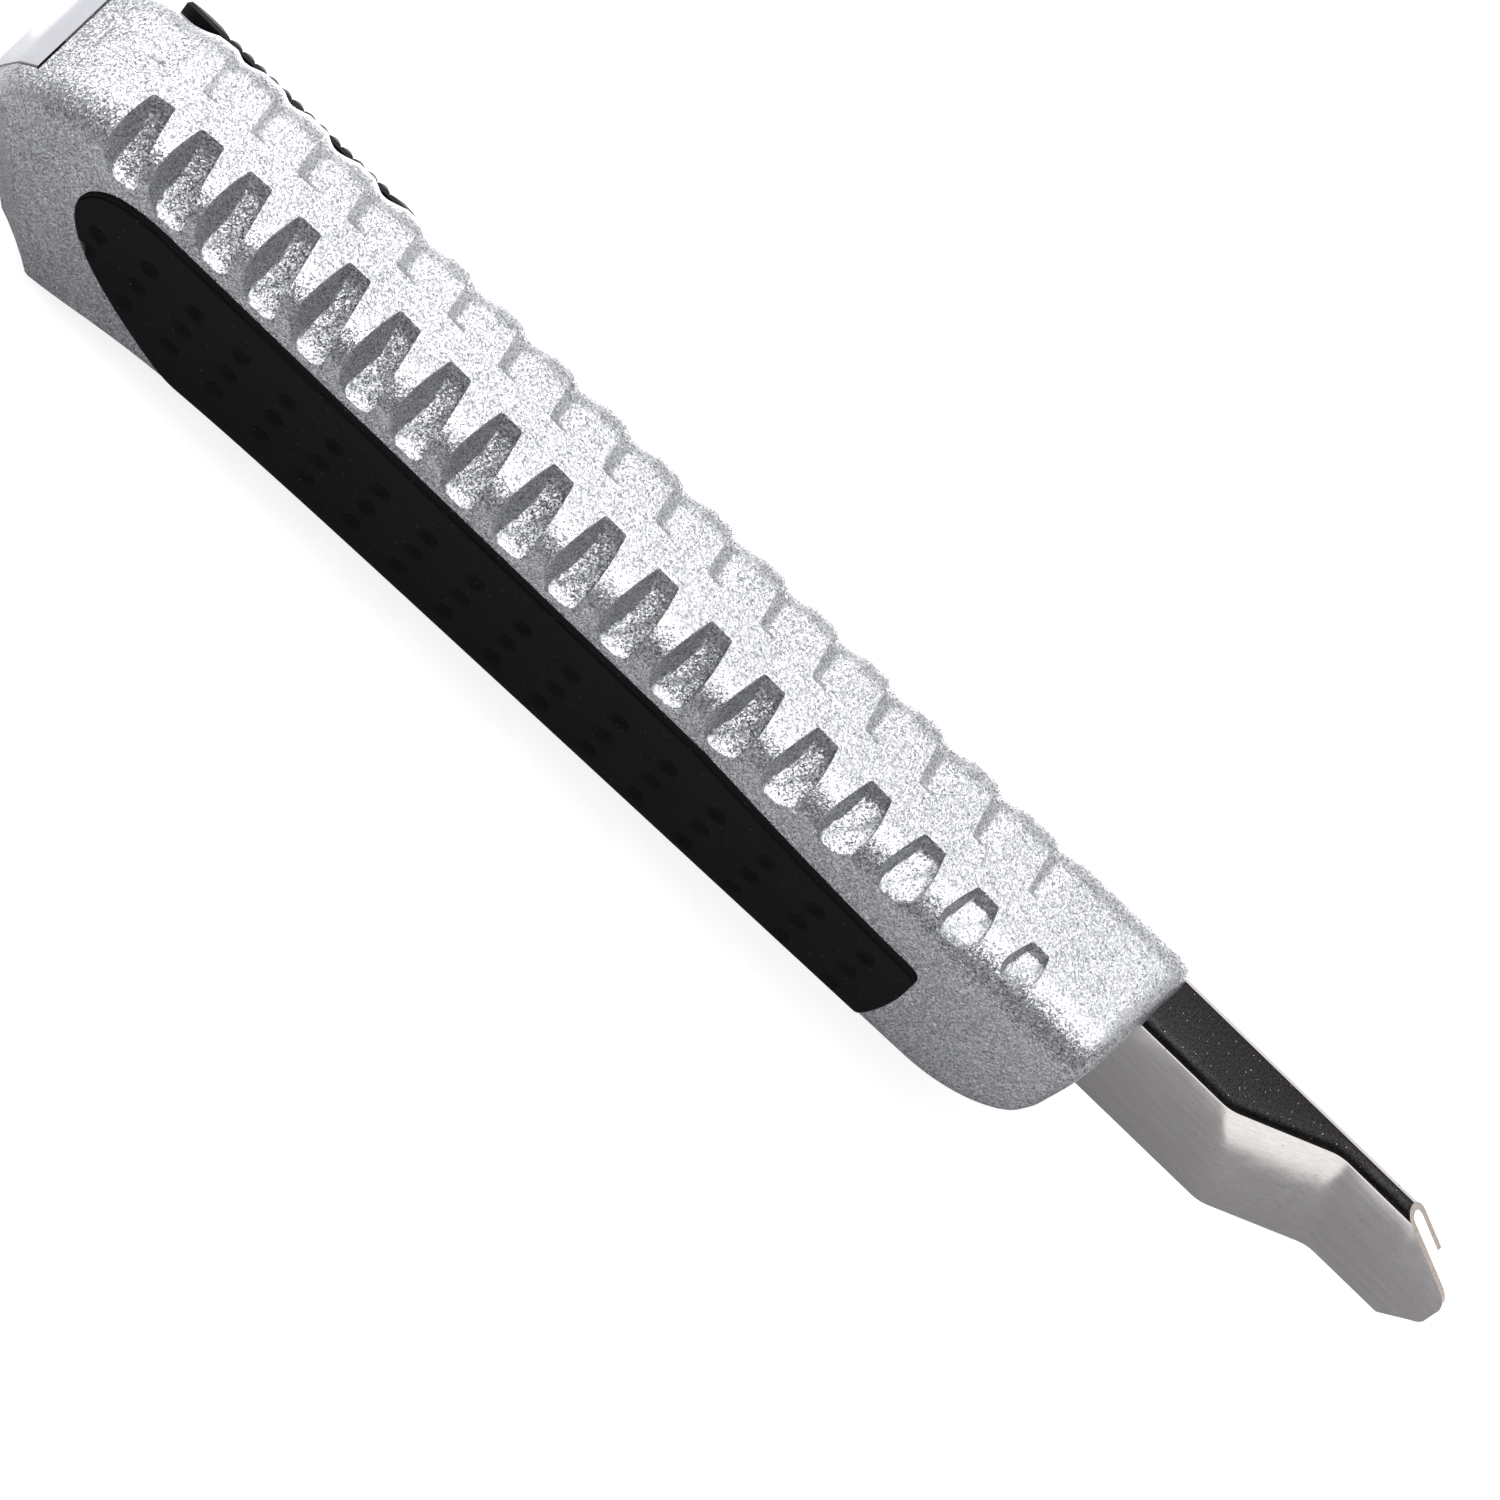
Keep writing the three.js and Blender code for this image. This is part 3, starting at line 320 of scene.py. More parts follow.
# Matt paper or card: two near tones mixed by its fibre.
def paper(name, dark, pale, fibrePerM=600.0, **values):
    material, tree, shader, place = newMaterial(name, **values)
    fibre = addNode(tree, "TexNoise", {"Vector": place}, {"Scale": fibrePerM, "Detail": 2.0})
    colour = addNode(tree, "Mix", {0: fibre.outputs["Fac"]}, {6: dark, 7: pale}, data_type="RGBA")
    join(tree, shader, {"Base Color": colour.outputs[2]})
    return material, tree, shader


view = {"azimuth": -9.578, "elevation": 61.926, "roll": 52.41, "distance": 569.95, "target": (89.93, 0, 0),
        "lensMm": 139.966, "sensorMm": 36, "clipStart": 0.01}


def addCamera():
    turn, rise, roll = (math.radians(view[k]) for k in ("azimuth", "elevation", "roll"))
    back = Vector((math.cos(rise) * math.sin(turn), -math.cos(rise) * math.cos(turn), math.sin(rise)))
    level = Vector((math.cos(turn), math.sin(turn), 0))
    over = back.cross(level)
    across = level * math.cos(roll) + over * math.sin(roll)
    up = over * math.cos(roll) - level * math.sin(roll)
    data = bpy.data.cameras.new("camera")
    data.lens = view["lensMm"]
    data.sensor_width = view["sensorMm"]
    data.clip_start = view["clipStart"]
    camera = placed("camera", data)
    place = Matrix((across, up, back)).transposed().to_4x4()
    place.translation = Vector(inFrame(view["target"])) + back * view["distance"] / 1000
    camera.matrix_world = place
    bpy.context.scene.camera = camera


# Powers are in watts, and lengths in metres apart from the sheets' outlines in millimetres.
light = {
    "ambient": 0.4, "aim": (0.0, 0.0, 0.02), "distance": 1.4,
    "key": 33.0, "keySize": (1.25, 2.0), "keyFrom": (0.05, -0.1, 0.99),
    "side": 16.0, "sideSize": (1.4, 1.4), "sideFrom": (-0.72, 0.35, 0.6),
    "floorHalf": 3.0, "floorGlow": 0.75, "floorLevel": 1.05,
    "cardRadius": 1.1, "cardHeight": 0.68, "cardArc": (200, 365), "cardSteps": 24,
    "sheetHeight": 0.0002, "bounce": 2.6,
    "bounceSheet": ((-115, 16), (115, 16), (115, 170), (-115, 170)),
    # the knife's painted shadow on the table, for reflections only
    "paintedShadowSheet": ((-100, -25), (74, -25), (97, -14), (101, -14), (101, 4), (-100, 4)),
    "farFlag": ((-300, -420), (300, -420), (300, -62), (-300, -62)),
}


# A rectangular lamp, called key or side, that looks at the middle of the knife.
def areaLight(name):
    data = bpy.data.lights.new(name, "AREA")
    data.shape = "RECTANGLE"
    data.size, data.size_y = light[name + "Size"]
    data.energy = light[name]
    lamp = placed(name, data)
    aim = Vector(light["aim"])
    lamp.location = aim + Vector(light[name + "From"]).normalized() * light["distance"]
    lamp.rotation_euler = (aim - Vector(lamp.location)).to_track_quat("-Z", "Y").to_euler()


# 1 for rays of the camera, of mirrors and through glass, else 0.
def seenDirectly(tree):
    path = addNode(tree, "LightPath")
    seen = path.outputs["Is Camera Ray"]
    for ray in ("Is Glossy Ray", "Is Transmission Ray"):
        seen = addNode(tree, "Math", {0: seen, 1: path.outputs[ray]}, operation="MAXIMUM").outputs[0]
    return seen


def addStudio():
    world = bpy.data.worlds.new("studio")
    bpy.context.scene.world = world
    world.use_nodes = True
    tree = world.node_tree
    tree.nodes.clear()
    strength = addNode(tree, "MapRange", {"Value": seenDirectly(tree)}, ends((0, 1), (light["ambient"], 1.0)))
    white = addNode(tree, "Background", {"Strength": strength.outputs[0]}, {"Color": "#ffffff"})
    addNode(tree, "OutputWorld", {"Surface": white.outputs[0]})
    areaLight("key")
    areaLight("side")


# A piece of the studio, hidden from some kinds of rays.
def studioPiece(name, points, faces, material, hiddenFrom=()):
    mesh = bpy.data.meshes.new(name)
    mesh.from_pydata(points, [], faces)
    mesh.materials.append(material)
    piece = placed(name, mesh)
    for rays in hiddenFrom:
        setattr(piece, "visible_" + rays, False)
    return piece


# Matt white paper sweep, a little uneven. What the camera and the metal see of it is lifted to
# white, and the shadow stays.
def addFloor():
    material, tree, shader = paper("paperSweep", "#fbfbfb", "#ffffff", 900.0, Roughness=0.95,
                                   Specular_IOR_Level=0.0)
    share = addNode(tree, "Math", {0: seenDirectly(tree)}, {1: light["floorGlow"]}, operation="MULTIPLY")
    glow = addNode(tree, "Emission", values={"Color": "#ffffff", "Strength": light["floorLevel"]})
    both = addNode(tree, "MixShader", {0: share.outputs[0], 1: shader.outputs[0], 2: glow.outputs[0]})
    output = next(n for n in tree.nodes if n.bl_idname == "ShaderNodeOutputMaterial")
    join(tree, output, {"Surface": both.outputs[0]})
    half = light["floorHalf"]
    corners = [(-half, -half, 0), (half, -half, 0), (half, half, 0), (-half, half, 0)]
    floor = studioPiece("floor", corners, [(0, 1, 2, 3)], material)


# Dark cards stand in an arc round the rubber side of the table, outside every view, and give
# the metal its dark reflections.
def addCards():
    count = light["cardSteps"] + 1
    turn = np.radians(np.linspace(*light["cardArc"], count))
    ring = np.stack([np.cos(turn), np.sin(turn), 0 * turn], axis=1) * light["cardRadius"]
    points = np.vstack([ring, ring + np.array([0, 0, light["cardHeight"]])])
    step = np.arange(light["cardSteps"])
    faces = np.stack([step, step + 1, step + count + 1, step + count], axis=1)
    material = paper("blackCard", "#141416", "#1b1b1e", Roughness=0.9)[0]
    cards = studioPiece("cards", points.tolist(), faces.tolist(), material, ("camera", "shadow"))


# A flat sheet on the table that only reflections see.
def addSheet(name, outline, material):
    points = [(x / 1000, y / 1000, light["sheetHeight"]) for x, y in outline]
    sheet = studioPiece(name, points, [tuple(range(len(outline)))], material, ("camera", "shadow", "diffuse"))


# A grey sheet along the rubber side, cut slanting near the tip, is the knife's painted shadow on
# the table, seen only in reflections; a darker one further out gives dark reflections, and a
# bright one on the thumb side a bright reflection.
def addSheets():
    for name, dark, pale in (("paintedShadowSheet", "#77777a", "#7d7d81"), ("farFlag", "#3c3c3f", "#424245")):
        addSheet(name, light[name], paper(name + "Paper", dark, pale, Roughness=0.9)[0])
    bright = newMaterial("brightSheet", Emission_Color="#ffffff", Emission_Strength=light["bounce"])[0]
    addSheet("bounce", light["bounceSheet"], bright)


addCamera()
addStudio()
addFloor()
addCards()
addSheets()
print("camera, light and floor set")

# Rim and bevel are the soft edges at the nose and at the tail. The lean is the tail's slant, which
# fades out along x, and the skew is the slant of the nose's end.
body = {
    "half": 8.75, "thumbHalf": 8.6, "flare": 0.4, "flareStart": 100,
    "spineZ": 17.6, "spineDip": 6.8, "dipStart": 18, "dipLength": 22, "dipPower": 3.2,
    "bellyZ": -15.4, "bellyRise": 0.042, "heelDrop": 5.5, "heelLength": 16,
    "tailX": -5.4, "tailLean": 0.5, "leanLength": (7, 30), "leanLow": 10, "leanPower": 1.5, "leanRounds": 14,
    "bevel": 3.2, "bevelDepth": 1.7, "noseX": 134.6, "skew": 0.13, "skewStart": 112, "arcX": 122, "arcZ": 1.8,
    "spineNoseR": 2.5, "rim": 1.2, "gripR": 4.5, "padR": 4.0, "bellyR": 4.0,
}


# The spine is straight and rounds off at the tail; at the nose it turns down on a round.
def spineAt(x):
    dip = body["spineDip"] * np.maximum(0, (body["dipStart"] - x) / body["dipLength"]) ** body["dipPower"]
    beyond = np.clip((x - (body["noseX"] - body["spineNoseR"])) / body["spineNoseR"], 0, 1)
    return body["spineZ"] - dip - body["spineNoseR"] * (1 - np.sqrt(1 - beyond ** 2))


# The belly climbs slowly from the heel and turns up to the nose on a quarter of an ellipse.
def bellyAt(x):
    heel = body["heelDrop"] / (1 + (np.maximum(x, 0) / body["heelLength"]) ** 3)
    straight = body["bellyZ"] + body["bellyRise"] * x - heel
    turn = np.clip((x - body["arcX"]) / (body["noseX"] - body["arcX"]), 0, 1)
    drop = body["arcZ"] - (body["bellyZ"] + body["bellyRise"] * body["arcX"])
    return np.where(x < body["arcX"], straight, body["arcZ"] - drop * np.sqrt(1 - turn ** 2))


# Two rows of finger scallops over the spine's corners: near on the rubber side, far on the thumb
# side. Edge and foot are ways from the middle of the spine round the section, where a scallop
# starts and ends. Slopes are depth over distance from each side of the outline.
scallops = {
    "count": 18, "start": 6.57, "pitch": 7.35, "crowding": 9.92, "crowdingFade": 5.5, "runLimit": 14.6,
    "edgeBreak": 36, "nearEdge": (1.25, 0.0185, 0.0011), "farEdge": (1.7, -0.0145, -0.0011),
    "nearFoot": (13.2, 5.4, 80, 42, 1.35), "farFoot": 12.4, "footLimit": 124,
    "narrow": 1.38, "wide": 2.45, "farNarrow": 1.5, "farWide": 2.3, "wideFrom": 0.75,
    "small": (1, 0.9), "farSmall": (3, 0.8), "lastScale": 0.8,
    "sweep": (2.2, 80), "tailRound": (0.55, 0.45, 2.4), "noseRound": 0.84, "noseRoundPower": 2.6,
    "lip": 0.1, "fillet": 0.16, "wallRun": 0.62, "wallDrop": 1.65, "flatSlope": 1.15, "tailSlope": 2.9,
    "noseSlope": 14.0, "slant": 0.16, "endSlope": 3.0, "sag": (0.5, 0.09),
    "flute": 0.26, "fluteAt": 0.55, "fluteHalf": 0.3, "fluteLevel": 0.35,
    "farDepth": 0.72, "farTailSlope": 0.5, "farNoseSlope": 0.34, "farEndSlope": 0.5,
    "farShift": (0.5, 75, 100), "farPinch": (0.45, 30, 120), "noseRoundLater": (0.27, 70, 120),
    "crowdEnd": (0.3, 0.6, 1.0), "fluteShift": (0.95, 0.3, 0.9), "noseRise": (0.1, -0.5, 1.1),
    "noseEasing": (4.0, 0.2, 0.75),
}


# A setting of three numbers: an amount, and the two values between which it comes in.
def comingIn(name, value):
    amount, low, high = scallops[name]
    return amount * ease(value, low, high)


def scallopX(i):
    crowded = scallops["crowding"] * (1 - np.exp(-i / scallops["crowdingFade"]))
    return scallops["start"] + scallops["pitch"] * i - crowded


def edgeAt(x, far):
    first, growth, tailGrowth = scallops["farEdge" if far else "nearEdge"]
    past = x - scallops["edgeBreak"]
    return first + growth * np.maximum(0, past) + tailGrowth * np.maximum(0, -past) ** 2


def footAt(x, far):
    x = np.minimum(x, scallops["footLimit"])
    if far:
        return np.full_like(x, scallops["farFoot"])
    first, drop, dropFrom, dropLength, power = scallops["nearFoot"]
    return first - drop * np.maximum(0, (x - dropFrom) / dropLength) ** power


# Middle, half width and scale of each scallop at t, which runs from its wall by the spine at 0
# to its round end at 1. The first ones by the tail and the last are smaller.
def scallopPlaces(t, far):
    i = np.arange(scallops["count"], dtype=float)
    near = scallopX(i)
    few, small = scallops["farSmall" if far else "small"]
    scale = np.where(i < few, small, 1.0) * np.where(i > scallops["count"] - 1.5, scallops["lastScale"], 1.0)
    if far:
        middle = (scallopX(i - 1) + near) / 2 - comingIn("farShift", near)
        narrow, wide = scallops["farNarrow"] - comingIn("farPinch", near), scallops["farWide"]
    else:
        sweep, fade = scallops["sweep"]
        middle = near + sweep * np.maximum(0, 1 - near / fade) * t ** 2
        narrow, wide = scallops["narrow"], scallops["wide"]
    half = narrow + (wide - narrow) * np.sin(np.pi / 2 * np.clip(t / scallops["wideFrom"], 0, 1))
    return middle, half * scale, scale


# Where columns stand over a scallop, in half widths; the ridge between two gets a few more.
acrossAt = np.array([-1.1, -1.03, -1.0, -0.97, -0.92, -0.84, -0.73, -0.62, -0.51, -0.41, -0.31, -0.21, -0.11,
                     0.0, 0.11, 0.22, 0.33, 0.44, 0.55, 0.66, 0.76, 0.85, 0.92, 0.97, 1.0, 1.03, 1.1])
ridgeAt = np.array([0.25, 0.5, 0.75])
columnCounts = {"bevel": 4, "tail": 8, "nose": 18, "rim": 8}


def columnsAt(t, far):
    middle, half = scallopPlaces(t, far)[:2]
    # the columns of the round end draw together
    spaced = half * (1 - comingIn("crowdEnd", t))
    over = middle[:, None] + spaced[:, None] * acrossAt[None, :]
    gapStart, gapEnd = over[:-1, -1], over[1:, 0]
    between = gapStart[:, None] + (gapEnd - gapStart)[:, None] * ridgeAt[None, :]
    rows = np.concatenate([np.concatenate([over[:-1], between], axis=1).ravel(), over[-1]])
    counts = {name: np.linspace(0, 1, count + 1) for name, count in columnCounts.items()}
    bevelEnd = body["tailX"] + body["bevel"]
    rimStart = body["noseX"] - body["rim"]
    return np.concatenate([
        body["tailX"] + body["bevel"] * counts["bevel"][:-1],
        bevelEnd + (rows[0] - bevelEnd) * counts["tail"][:-1],
        rows, rows[-1] + (rimStart - rows[-1]) * counts["nose"][1:],
        rimStart + body["rim"] * np.sin(np.radians(90 * counts["rim"][1:]))])


# A point of the section at a way s along it: out from the middle, and down from the spine.
def sectionPoint(s, cornerR):
    flat = body["half"] - cornerR
    angle = np.clip((s - flat) / cornerR, 0, np.pi / 2)
    down = np.maximum(0, s - flat - cornerR * np.pi / 2)
    return np.minimum(s, flat) + cornerR * np.sin(angle), cornerR * (1 - np.cos(angle)) + down, angle


# Distances to the two sides of the scallop's outline, whose round end is long on the tail side
# and short on the nose side; then how far over it each column stands, the scallop's scale, and
# whether the column is inside it.
def scallopSides(x, t, far):
    middle, half, scale = scallopPlaces(t, far)
    pick = np.abs(x[:, None] - middle[None, :]).argmin(axis=1)

    def roundEnd(start, length, power):
        return np.sqrt(np.clip(1 - np.clip((t - start) / length, 0, 1) ** power, 0.0001, 1))

    noseStart = scallops["noseRound"] - comingIn("noseRoundLater", middle[pick])
    tailWidth = half[pick] * roundEnd(*scallops["tailRound"])
    noseWidth = half[pick] * roundEnd(noseStart, 1 - noseStart, scallops["noseRoundPower"])
    out = x - middle[pick]
    inside = (np.abs(out) < np.where(out < 0, tailWidth, noseWidth)) & (t > 0) & (t < 1)
    return tailWidth + out, noseWidth - out, out / half[pick], scale[pick], inside


# Depth where a floor and walls meet in fillets. Each wall is a distance from an edge of the
# outline, where it starts with a small round lip, and a slope.
def hollow(floor, inside, walls):
    lip, fillet = scallops["lip"], scallops["fillet"]
    depth = floor
    for distance, slope in walls:
        wall = slope * (np.sqrt(np.maximum(distance, 0) ** 2 + lip ** 2) - lip)
        depth = (depth + wall - np.sqrt((depth - wall) ** 2 + fillet ** 2)) / 2
    return np.where(inside, np.maximum(0, depth), 0)


# Near scallops are sunk along a fixed direction into the metal, 30 degrees off plumb.
sinkOut, sinkDown = 0.5, math.sqrt(0.75)


# The floor of a near scallop is hollow like a spoon: a quadratic curve from the foot of the wall
# by the spine to the round end, sagging by a share of its chord. A step across it makes two
# flutes, and it gets a little shallower towards the nose.
def nearDepth(x, t, s, start, end):
    tailSide, noseSide, across, size, inside = scallopSides(x, t, False)

    def turned(out, down):
        return sinkDown * out + sinkOut * down, sinkDown * down - sinkOut * out

    endOut, endDown = sectionPoint(end, body["gripR"])[:2]
    u, v = turned(*sectionPoint(s, body["gripR"])[:2])
    foot = start + scallops["wallRun"] * size, scallops["wallDrop"] * size
    chord = endOut - foot[0], endDown - foot[1]
    along, sag = scallops["sag"]
    u0, v0 = turned(*foot)
    u1, v1 = turned(foot[0] + along * chord[0] - sag * chord[1], foot[1] + along * chord[1] + sag * chord[0])
    u2, v2 = turned(endOut, endDown)
    bend = u0 - 2 * u1 + u2
    climb = 2 * (u1 - u0)
    q = 2 * (u - u0) / (climb + np.sqrt(np.maximum(0.01, climb ** 2 + 4 * bend * (u - u0))))
    floor = (1 - q) ** 2 * v0 + 2 * q * (1 - q) * v1 + q ** 2 * v2 - v
    stepAt = scallops["fluteAt"] - comingIn("fluteShift", t)
    step = ease(across, stepAt - scallops["fluteHalf"], stepAt + scallops["fluteHalf"])
    step = step * ease(t, 0.12, 0.5) * (1 - ease(t, 0.8, 1))
    floor = floor + scallops["flute"] * size * (step - scallops["fluteLevel"])
    floor = floor * (1 - comingIn("noseRise", across))
    return hollow(floor, inside, [
        (tailSide, scallops["tailSlope"]), (noseSide, scallops["noseSlope"] - comingIn("noseEasing", t)),
        (s - start, scallops["flatSlope"]), (end - s, scallops["endSlope"])])


# A far scallop is a shallow trough of even depth, since the channel lies just below it.
def farDepth(x, t, s, start, end):
    tailSide, noseSide, _, size, inside = scallopSides(x, t, True)
    return hollow(scallops["farDepth"] * size, inside, [
        (tailSide, scallops["farTailSlope"]), (noseSide, scallops["farNoseSlope"]),
        (s - start, scallops["flatSlope"]), (end - s, scallops["farEndSlope"])])


# The body is a tube of rows round the section by columns from tail to nose. upperRows are the
# rows from the middle of the spine to the end of the scallop zone: up to 1 the strip beside the
# middle, up to 2 the scallops, then the rest.
upperRows = np.concatenate([
    np.linspace(0, 1, 5)[:-1],
    1 + np.array([0, 0.006, 0.014, 0.03, 0.05, 0.075, 0.1, 0.12, 0.135, 0.15, 0.165]),
    1 + np.linspace(0.19, 0.93, 30), 1 + np.array([0.95, 0.965, 0.978, 0.988, 0.995, 1.0]),
    2 + np.array([0.06, 0.25, 0.5, 0.75, 1.0])])
sideRows = np.linspace(0, 1, 11)[1:]
turnRows = np.radians(np.linspace(0, 90, 8)[1:])
underRows = np.linspace(0, 2, 7)[1:]


def buildBody(name):
    half, gripR, bellyR = body["half"], body["gripR"], body["bellyR"]
    rows = []

    # A row: where its columns stand, y, height below the spine or over the belly, which of the
    # two, the direction into the metal, and the depth of its scallops.
    def addRow(*values, depth=0):
        rows.append(np.stack(np.broadcast_arrays(*values, depth), axis=1))

    def upperRow(q, far):
        t = np.clip(q - 1, 0, 1)
        along = columnsAt(t, far)
        start, end = edgeAt(along, far), footAt(along, far)
        if q < 1:
            # across the plain strip the columns run slanting from one row of scallops to the other
            otherAlong = columnsAt(0.0, not far)
            part = (start * (1 - q)) / (start + edgeAt(otherAlong, not far))
            along = along * (1 - part) + otherAlong * part
            s = start * q
        elif q <= 2:
            s = start + (q - 1) * (end - start)
        else:
            s = end + (q - 2) * (scallops["runLimit"] - end)
        out, fromEdge, angle = sectionPoint(s, body["padR"] if far else gripR)
        depth = (farDepth if far else nearDepth)(along, t, s, start, end) if 1 < q < 2 else 0
        inward = (-np.sin(angle), -np.cos(angle)) if far else (sinkOut, -sinkDown)
        addRow(along, out if far else -out, fromEdge, 1, *inward, depth=depth)

    nearAlong, farAlong = columnsAt(1.0, False), columnsAt(1.0, True)
    lowest = sectionPoint(scallops["runLimit"], gripR)[1]

    # sides: rows are spread between the end of the scallop zone and the belly corner
    def sideRow(part, far):
        along = farAlong if far else nearAlong
        sign = 1.0 if far else -1.0
        whole = spineAt(along) - bellyAt(along) - bellyR - lowest
        addRow(along, sign * half, lowest + part * whole, 1, -sign, 0)

    for q in upperRows:
        upperRow(q, False)
    for part in sideRows:
        sideRow(part, False)
    for angle in turnRows:
        addRow(nearAlong, -(half - bellyR + bellyR * np.cos(angle)), bellyR * (1 - np.sin(angle)), 0, 0, 1)
    for part in underRows:
        addRow(nearAlong * (1 - part / 2) + farAlong * part / 2, -(half - bellyR) * (1 - part), 0, 0, 0, 1)
    for angle in turnRows:
        addRow(farAlong, half - bellyR + bellyR * np.sin(angle), bellyR * (1 - np.cos(angle)), 0, 0, 1)
    for part in sideRows[::-1][1:]:
        sideRow(part, True)
    addRow(farAlong, half, lowest, 1, -1, 0)
    for q in upperRows[::-1][1:-1]:
        upperRow(q, True)
    along, y, fromEdge, isUpper, inwardY, inwardZ, depth = np.moveaxis(np.stack(rows), 2, 0)

    def height(x):
        x = np.minimum(x, body["noseX"])
        return np.where(isUpper > 0.5, spineAt(x) - fromEdge, bellyAt(x) + fromEdge)

    def toNose(start):
        return np.maximum(0, (along - start) / (body["noseX"] - start))

    # the tail's slant fades out soon above the middle and more slowly below it; as it depends
    # on the height it leads to, it is found in rounds
    past = np.maximum(0, along - body["tailX"] - body["bevel"])
    upperFade, lowerFade = body["leanLength"]
    x = along.copy()
    for _ in range(body["leanRounds"]):
        z = height(x)
        fade = upperFade + (lowerFade - upperFade) * ease(-z, 0, body["leanLow"])
        lean = np.maximum(0, 1 - past / fade) ** body["leanPower"]
        x = (x + along - body["tailLean"] * z * lean) / 2
    z = height(x)
    # the section draws in on a round at the rim of the nose and on a bevel at the tail
    toRim = np.clip((along - (body["noseX"] - body["rim"])) / body["rim"], 0, 1)
    bevel = np.maximum(0, 1 - (along - body["tailX"]) / body["bevel"])
    inset = body["rim"] * (1 - np.sqrt(1 - toRim ** 2)) + body["bevelDepth"] * bevel
    z = z + np.where(isUpper > 0.5, -inset, inset)
    thumbHalf = body["thumbHalf"] + body["flare"] * toNose(body["flareStart"])
    y = y * np.where(y > 0, thumbHalf / half, 1)
    # near scallops are sunk slanting towards the nose
    x = x + np.where(y < 0, scallops["slant"], 0) * depth
    y = (y + inwardY * depth) * (1 - inset / half)
    z = z + inwardZ * depth
    x = x + body["skew"] * y * toNose(body["skewStart"])
    return tube(name, np.stack([x, y, z], axis=2))


channel = {"sheet": 0.6, "webY": 0.1, "lipY": 7.4, "lowZ": -4.1, "topZ": 15.9, "bendR": 1.2, "rearX": 12,
           "lipWidth": 4.4, "joggleX": 148.75, "joggleLength": 13.5, "joggleRise": 4.9, "slant": 0.38,
           "bend": 0.16, "clear": 0.15, "pinX": (128.5, 19.0), "pinZ": 4.0, "pinHoleR": 1.37}
slider = {"z": 5.9, "slotHalf": 4.5, "slotFrom": 1.8, "slotTo": 120.7, "slotR": 1.5, "slotFloor": 7.3}
cap = {"edgeY": -5.4, "frontX": -4.6, "skin": 1.8, "footZ": -7, "breakZ": 3.4, "gap": 0.3,
       "roomY": (-0.3, 7.7), "roof": ((-4.4, 7.8), (-1, 10.6), (2, 12.2), (12, 14.8)), "plugInset": 1.2,
       "plugFront": -0.6}
# where cutters end, well outside the body
outside = {"tail": -20, "nose": 210, "spine": 22, "thumb": 13, "rubber": -12}

# The rubber's outline is leaf shaped at the tail and nearly upright at the nose. Both edges
# start from the tip of the leaf.
inlay = {"depth": 1.2, "gap": 0.14, "tip": (6.6, 3), "topStart": (15, 9.7), "topEnd": (86, 9.7),
         "noseStart": (114.5, 7.4), "noseEnd": (116.2, 6), "lowStart": 25, "lowEnd": 115.6, "lowRise": 1.4,
         "noseBulge": 0.9}


def inlayEdges():
    upperEdge = np.vstack([bow(inlay["tip"], (7.2, 9.4), inlay["topStart"], 40), [inlay["topEnd"]],
                           bow(inlay["topEnd"], (104, 7.4), inlay["noseStart"], 16)[1:],
                           bow(inlay["noseStart"], (116, 7.4), inlay["noseEnd"], 8)[1:]])
    lowX = np.linspace(inlay["lowStart"], inlay["lowEnd"], 24)
    lowZ = bellyAt(lowX) + (inlay["lowRise"] + 0.7 * np.maximum(0, (40 - lowX) / 15))
    lowerEdge = np.vstack([bow(inlay["tip"], (6.2, -6.5), (lowX[0], lowZ[0]), 40),
                           np.stack([lowX, lowZ], axis=1)[1:]])
    return upperEdge, lowerEdge


# y of the body's rubber side at a height z, grown outwards; it bends under at the belly corner
def rubberSideY(x, z, grow):
    below = np.maximum(0, bellyAt(x) + body["bellyR"] - z)
    reach = body["bellyR"] + grow
    return -(body["half"] - body["bellyR"] + np.sqrt(np.maximum(0.04, reach ** 2 - below ** 2)))


def grownOutline(outline, grow):
    along = np.roll(outline, -1, axis=0) - np.roll(outline, 1, axis=0)
    normal = np.stack([along[:, 1], -along[:, 0]], axis=1)
    normal = normal / np.maximum(np.linalg.norm(normal, axis=1), 1e-9)[:, None]
    return outline + normal * grow


# The recess for the rubber: its outline with a small gap, as deep as the inlay and a little
# more, with a floor that follows the body's side and belly corner.
def inlayRecess():
    upperEdge, lowerEdge = inlayEdges()
    end = bow(upperEdge[-1], (117, 0), lowerEdge[-1], 10)[1:-1]
    outline = grownOutline(np.vstack([lowerEdge, end[::-1], upperEdge[::-1][:-1]]), inlay["gap"])
    hole = prism("inlayHole", outline, 1, outside["rubber"], -3.6)
    x = np.linspace(0, 122, 60)
    inner = body["half"] - body["bellyR"]
    reach = body["bellyR"] - inlay["depth"] - 0.3
    corner = bellyAt(x) + body["bellyR"]
    around = [(-inner - reach * np.cos(angle), corner + reach * np.sin(angle))
              for angle in np.radians(np.linspace(-90, 90, 25))[:13]]
    around += [(-(inner + reach), 14), (0, 14), (0, corner - reach)]
    core = tube("inlayCore", np.stack([np.stack(np.broadcast_arrays(x, y, z), axis=1) for y, z in around]))
    return cut(hole, [core])


# x of a line along the slanting tail, so far in from its end
def tailSlant(z, inset):
    return body["tailX"] - body["tailLean"] * z + inset


def capSeat(clear, name):
    front = cap["frontX"] + clear
    foot = cap["footZ"] - clear
    outline = [(front, outside["spine"]), (front, cap["breakZ"]),
               (tailSlant(cap["footZ"], cap["skin"] + clear), foot), (outside["tail"], foot),
               (outside["tail"], outside["spine"])]
    return prism(name, outline, 1, cap["edgeY"] - clear, outside["thumb"])


def passage():
    clear = channel["clear"]
    outline = roundedBox((channel["webY"] - clear, channel["lowZ"] - clear),
                         (channel["lipY"] + clear, channel["topZ"] + clear), channel["bendR"])
    return prism("passage", outline, 0, channel["rearX"] - 1, 150)


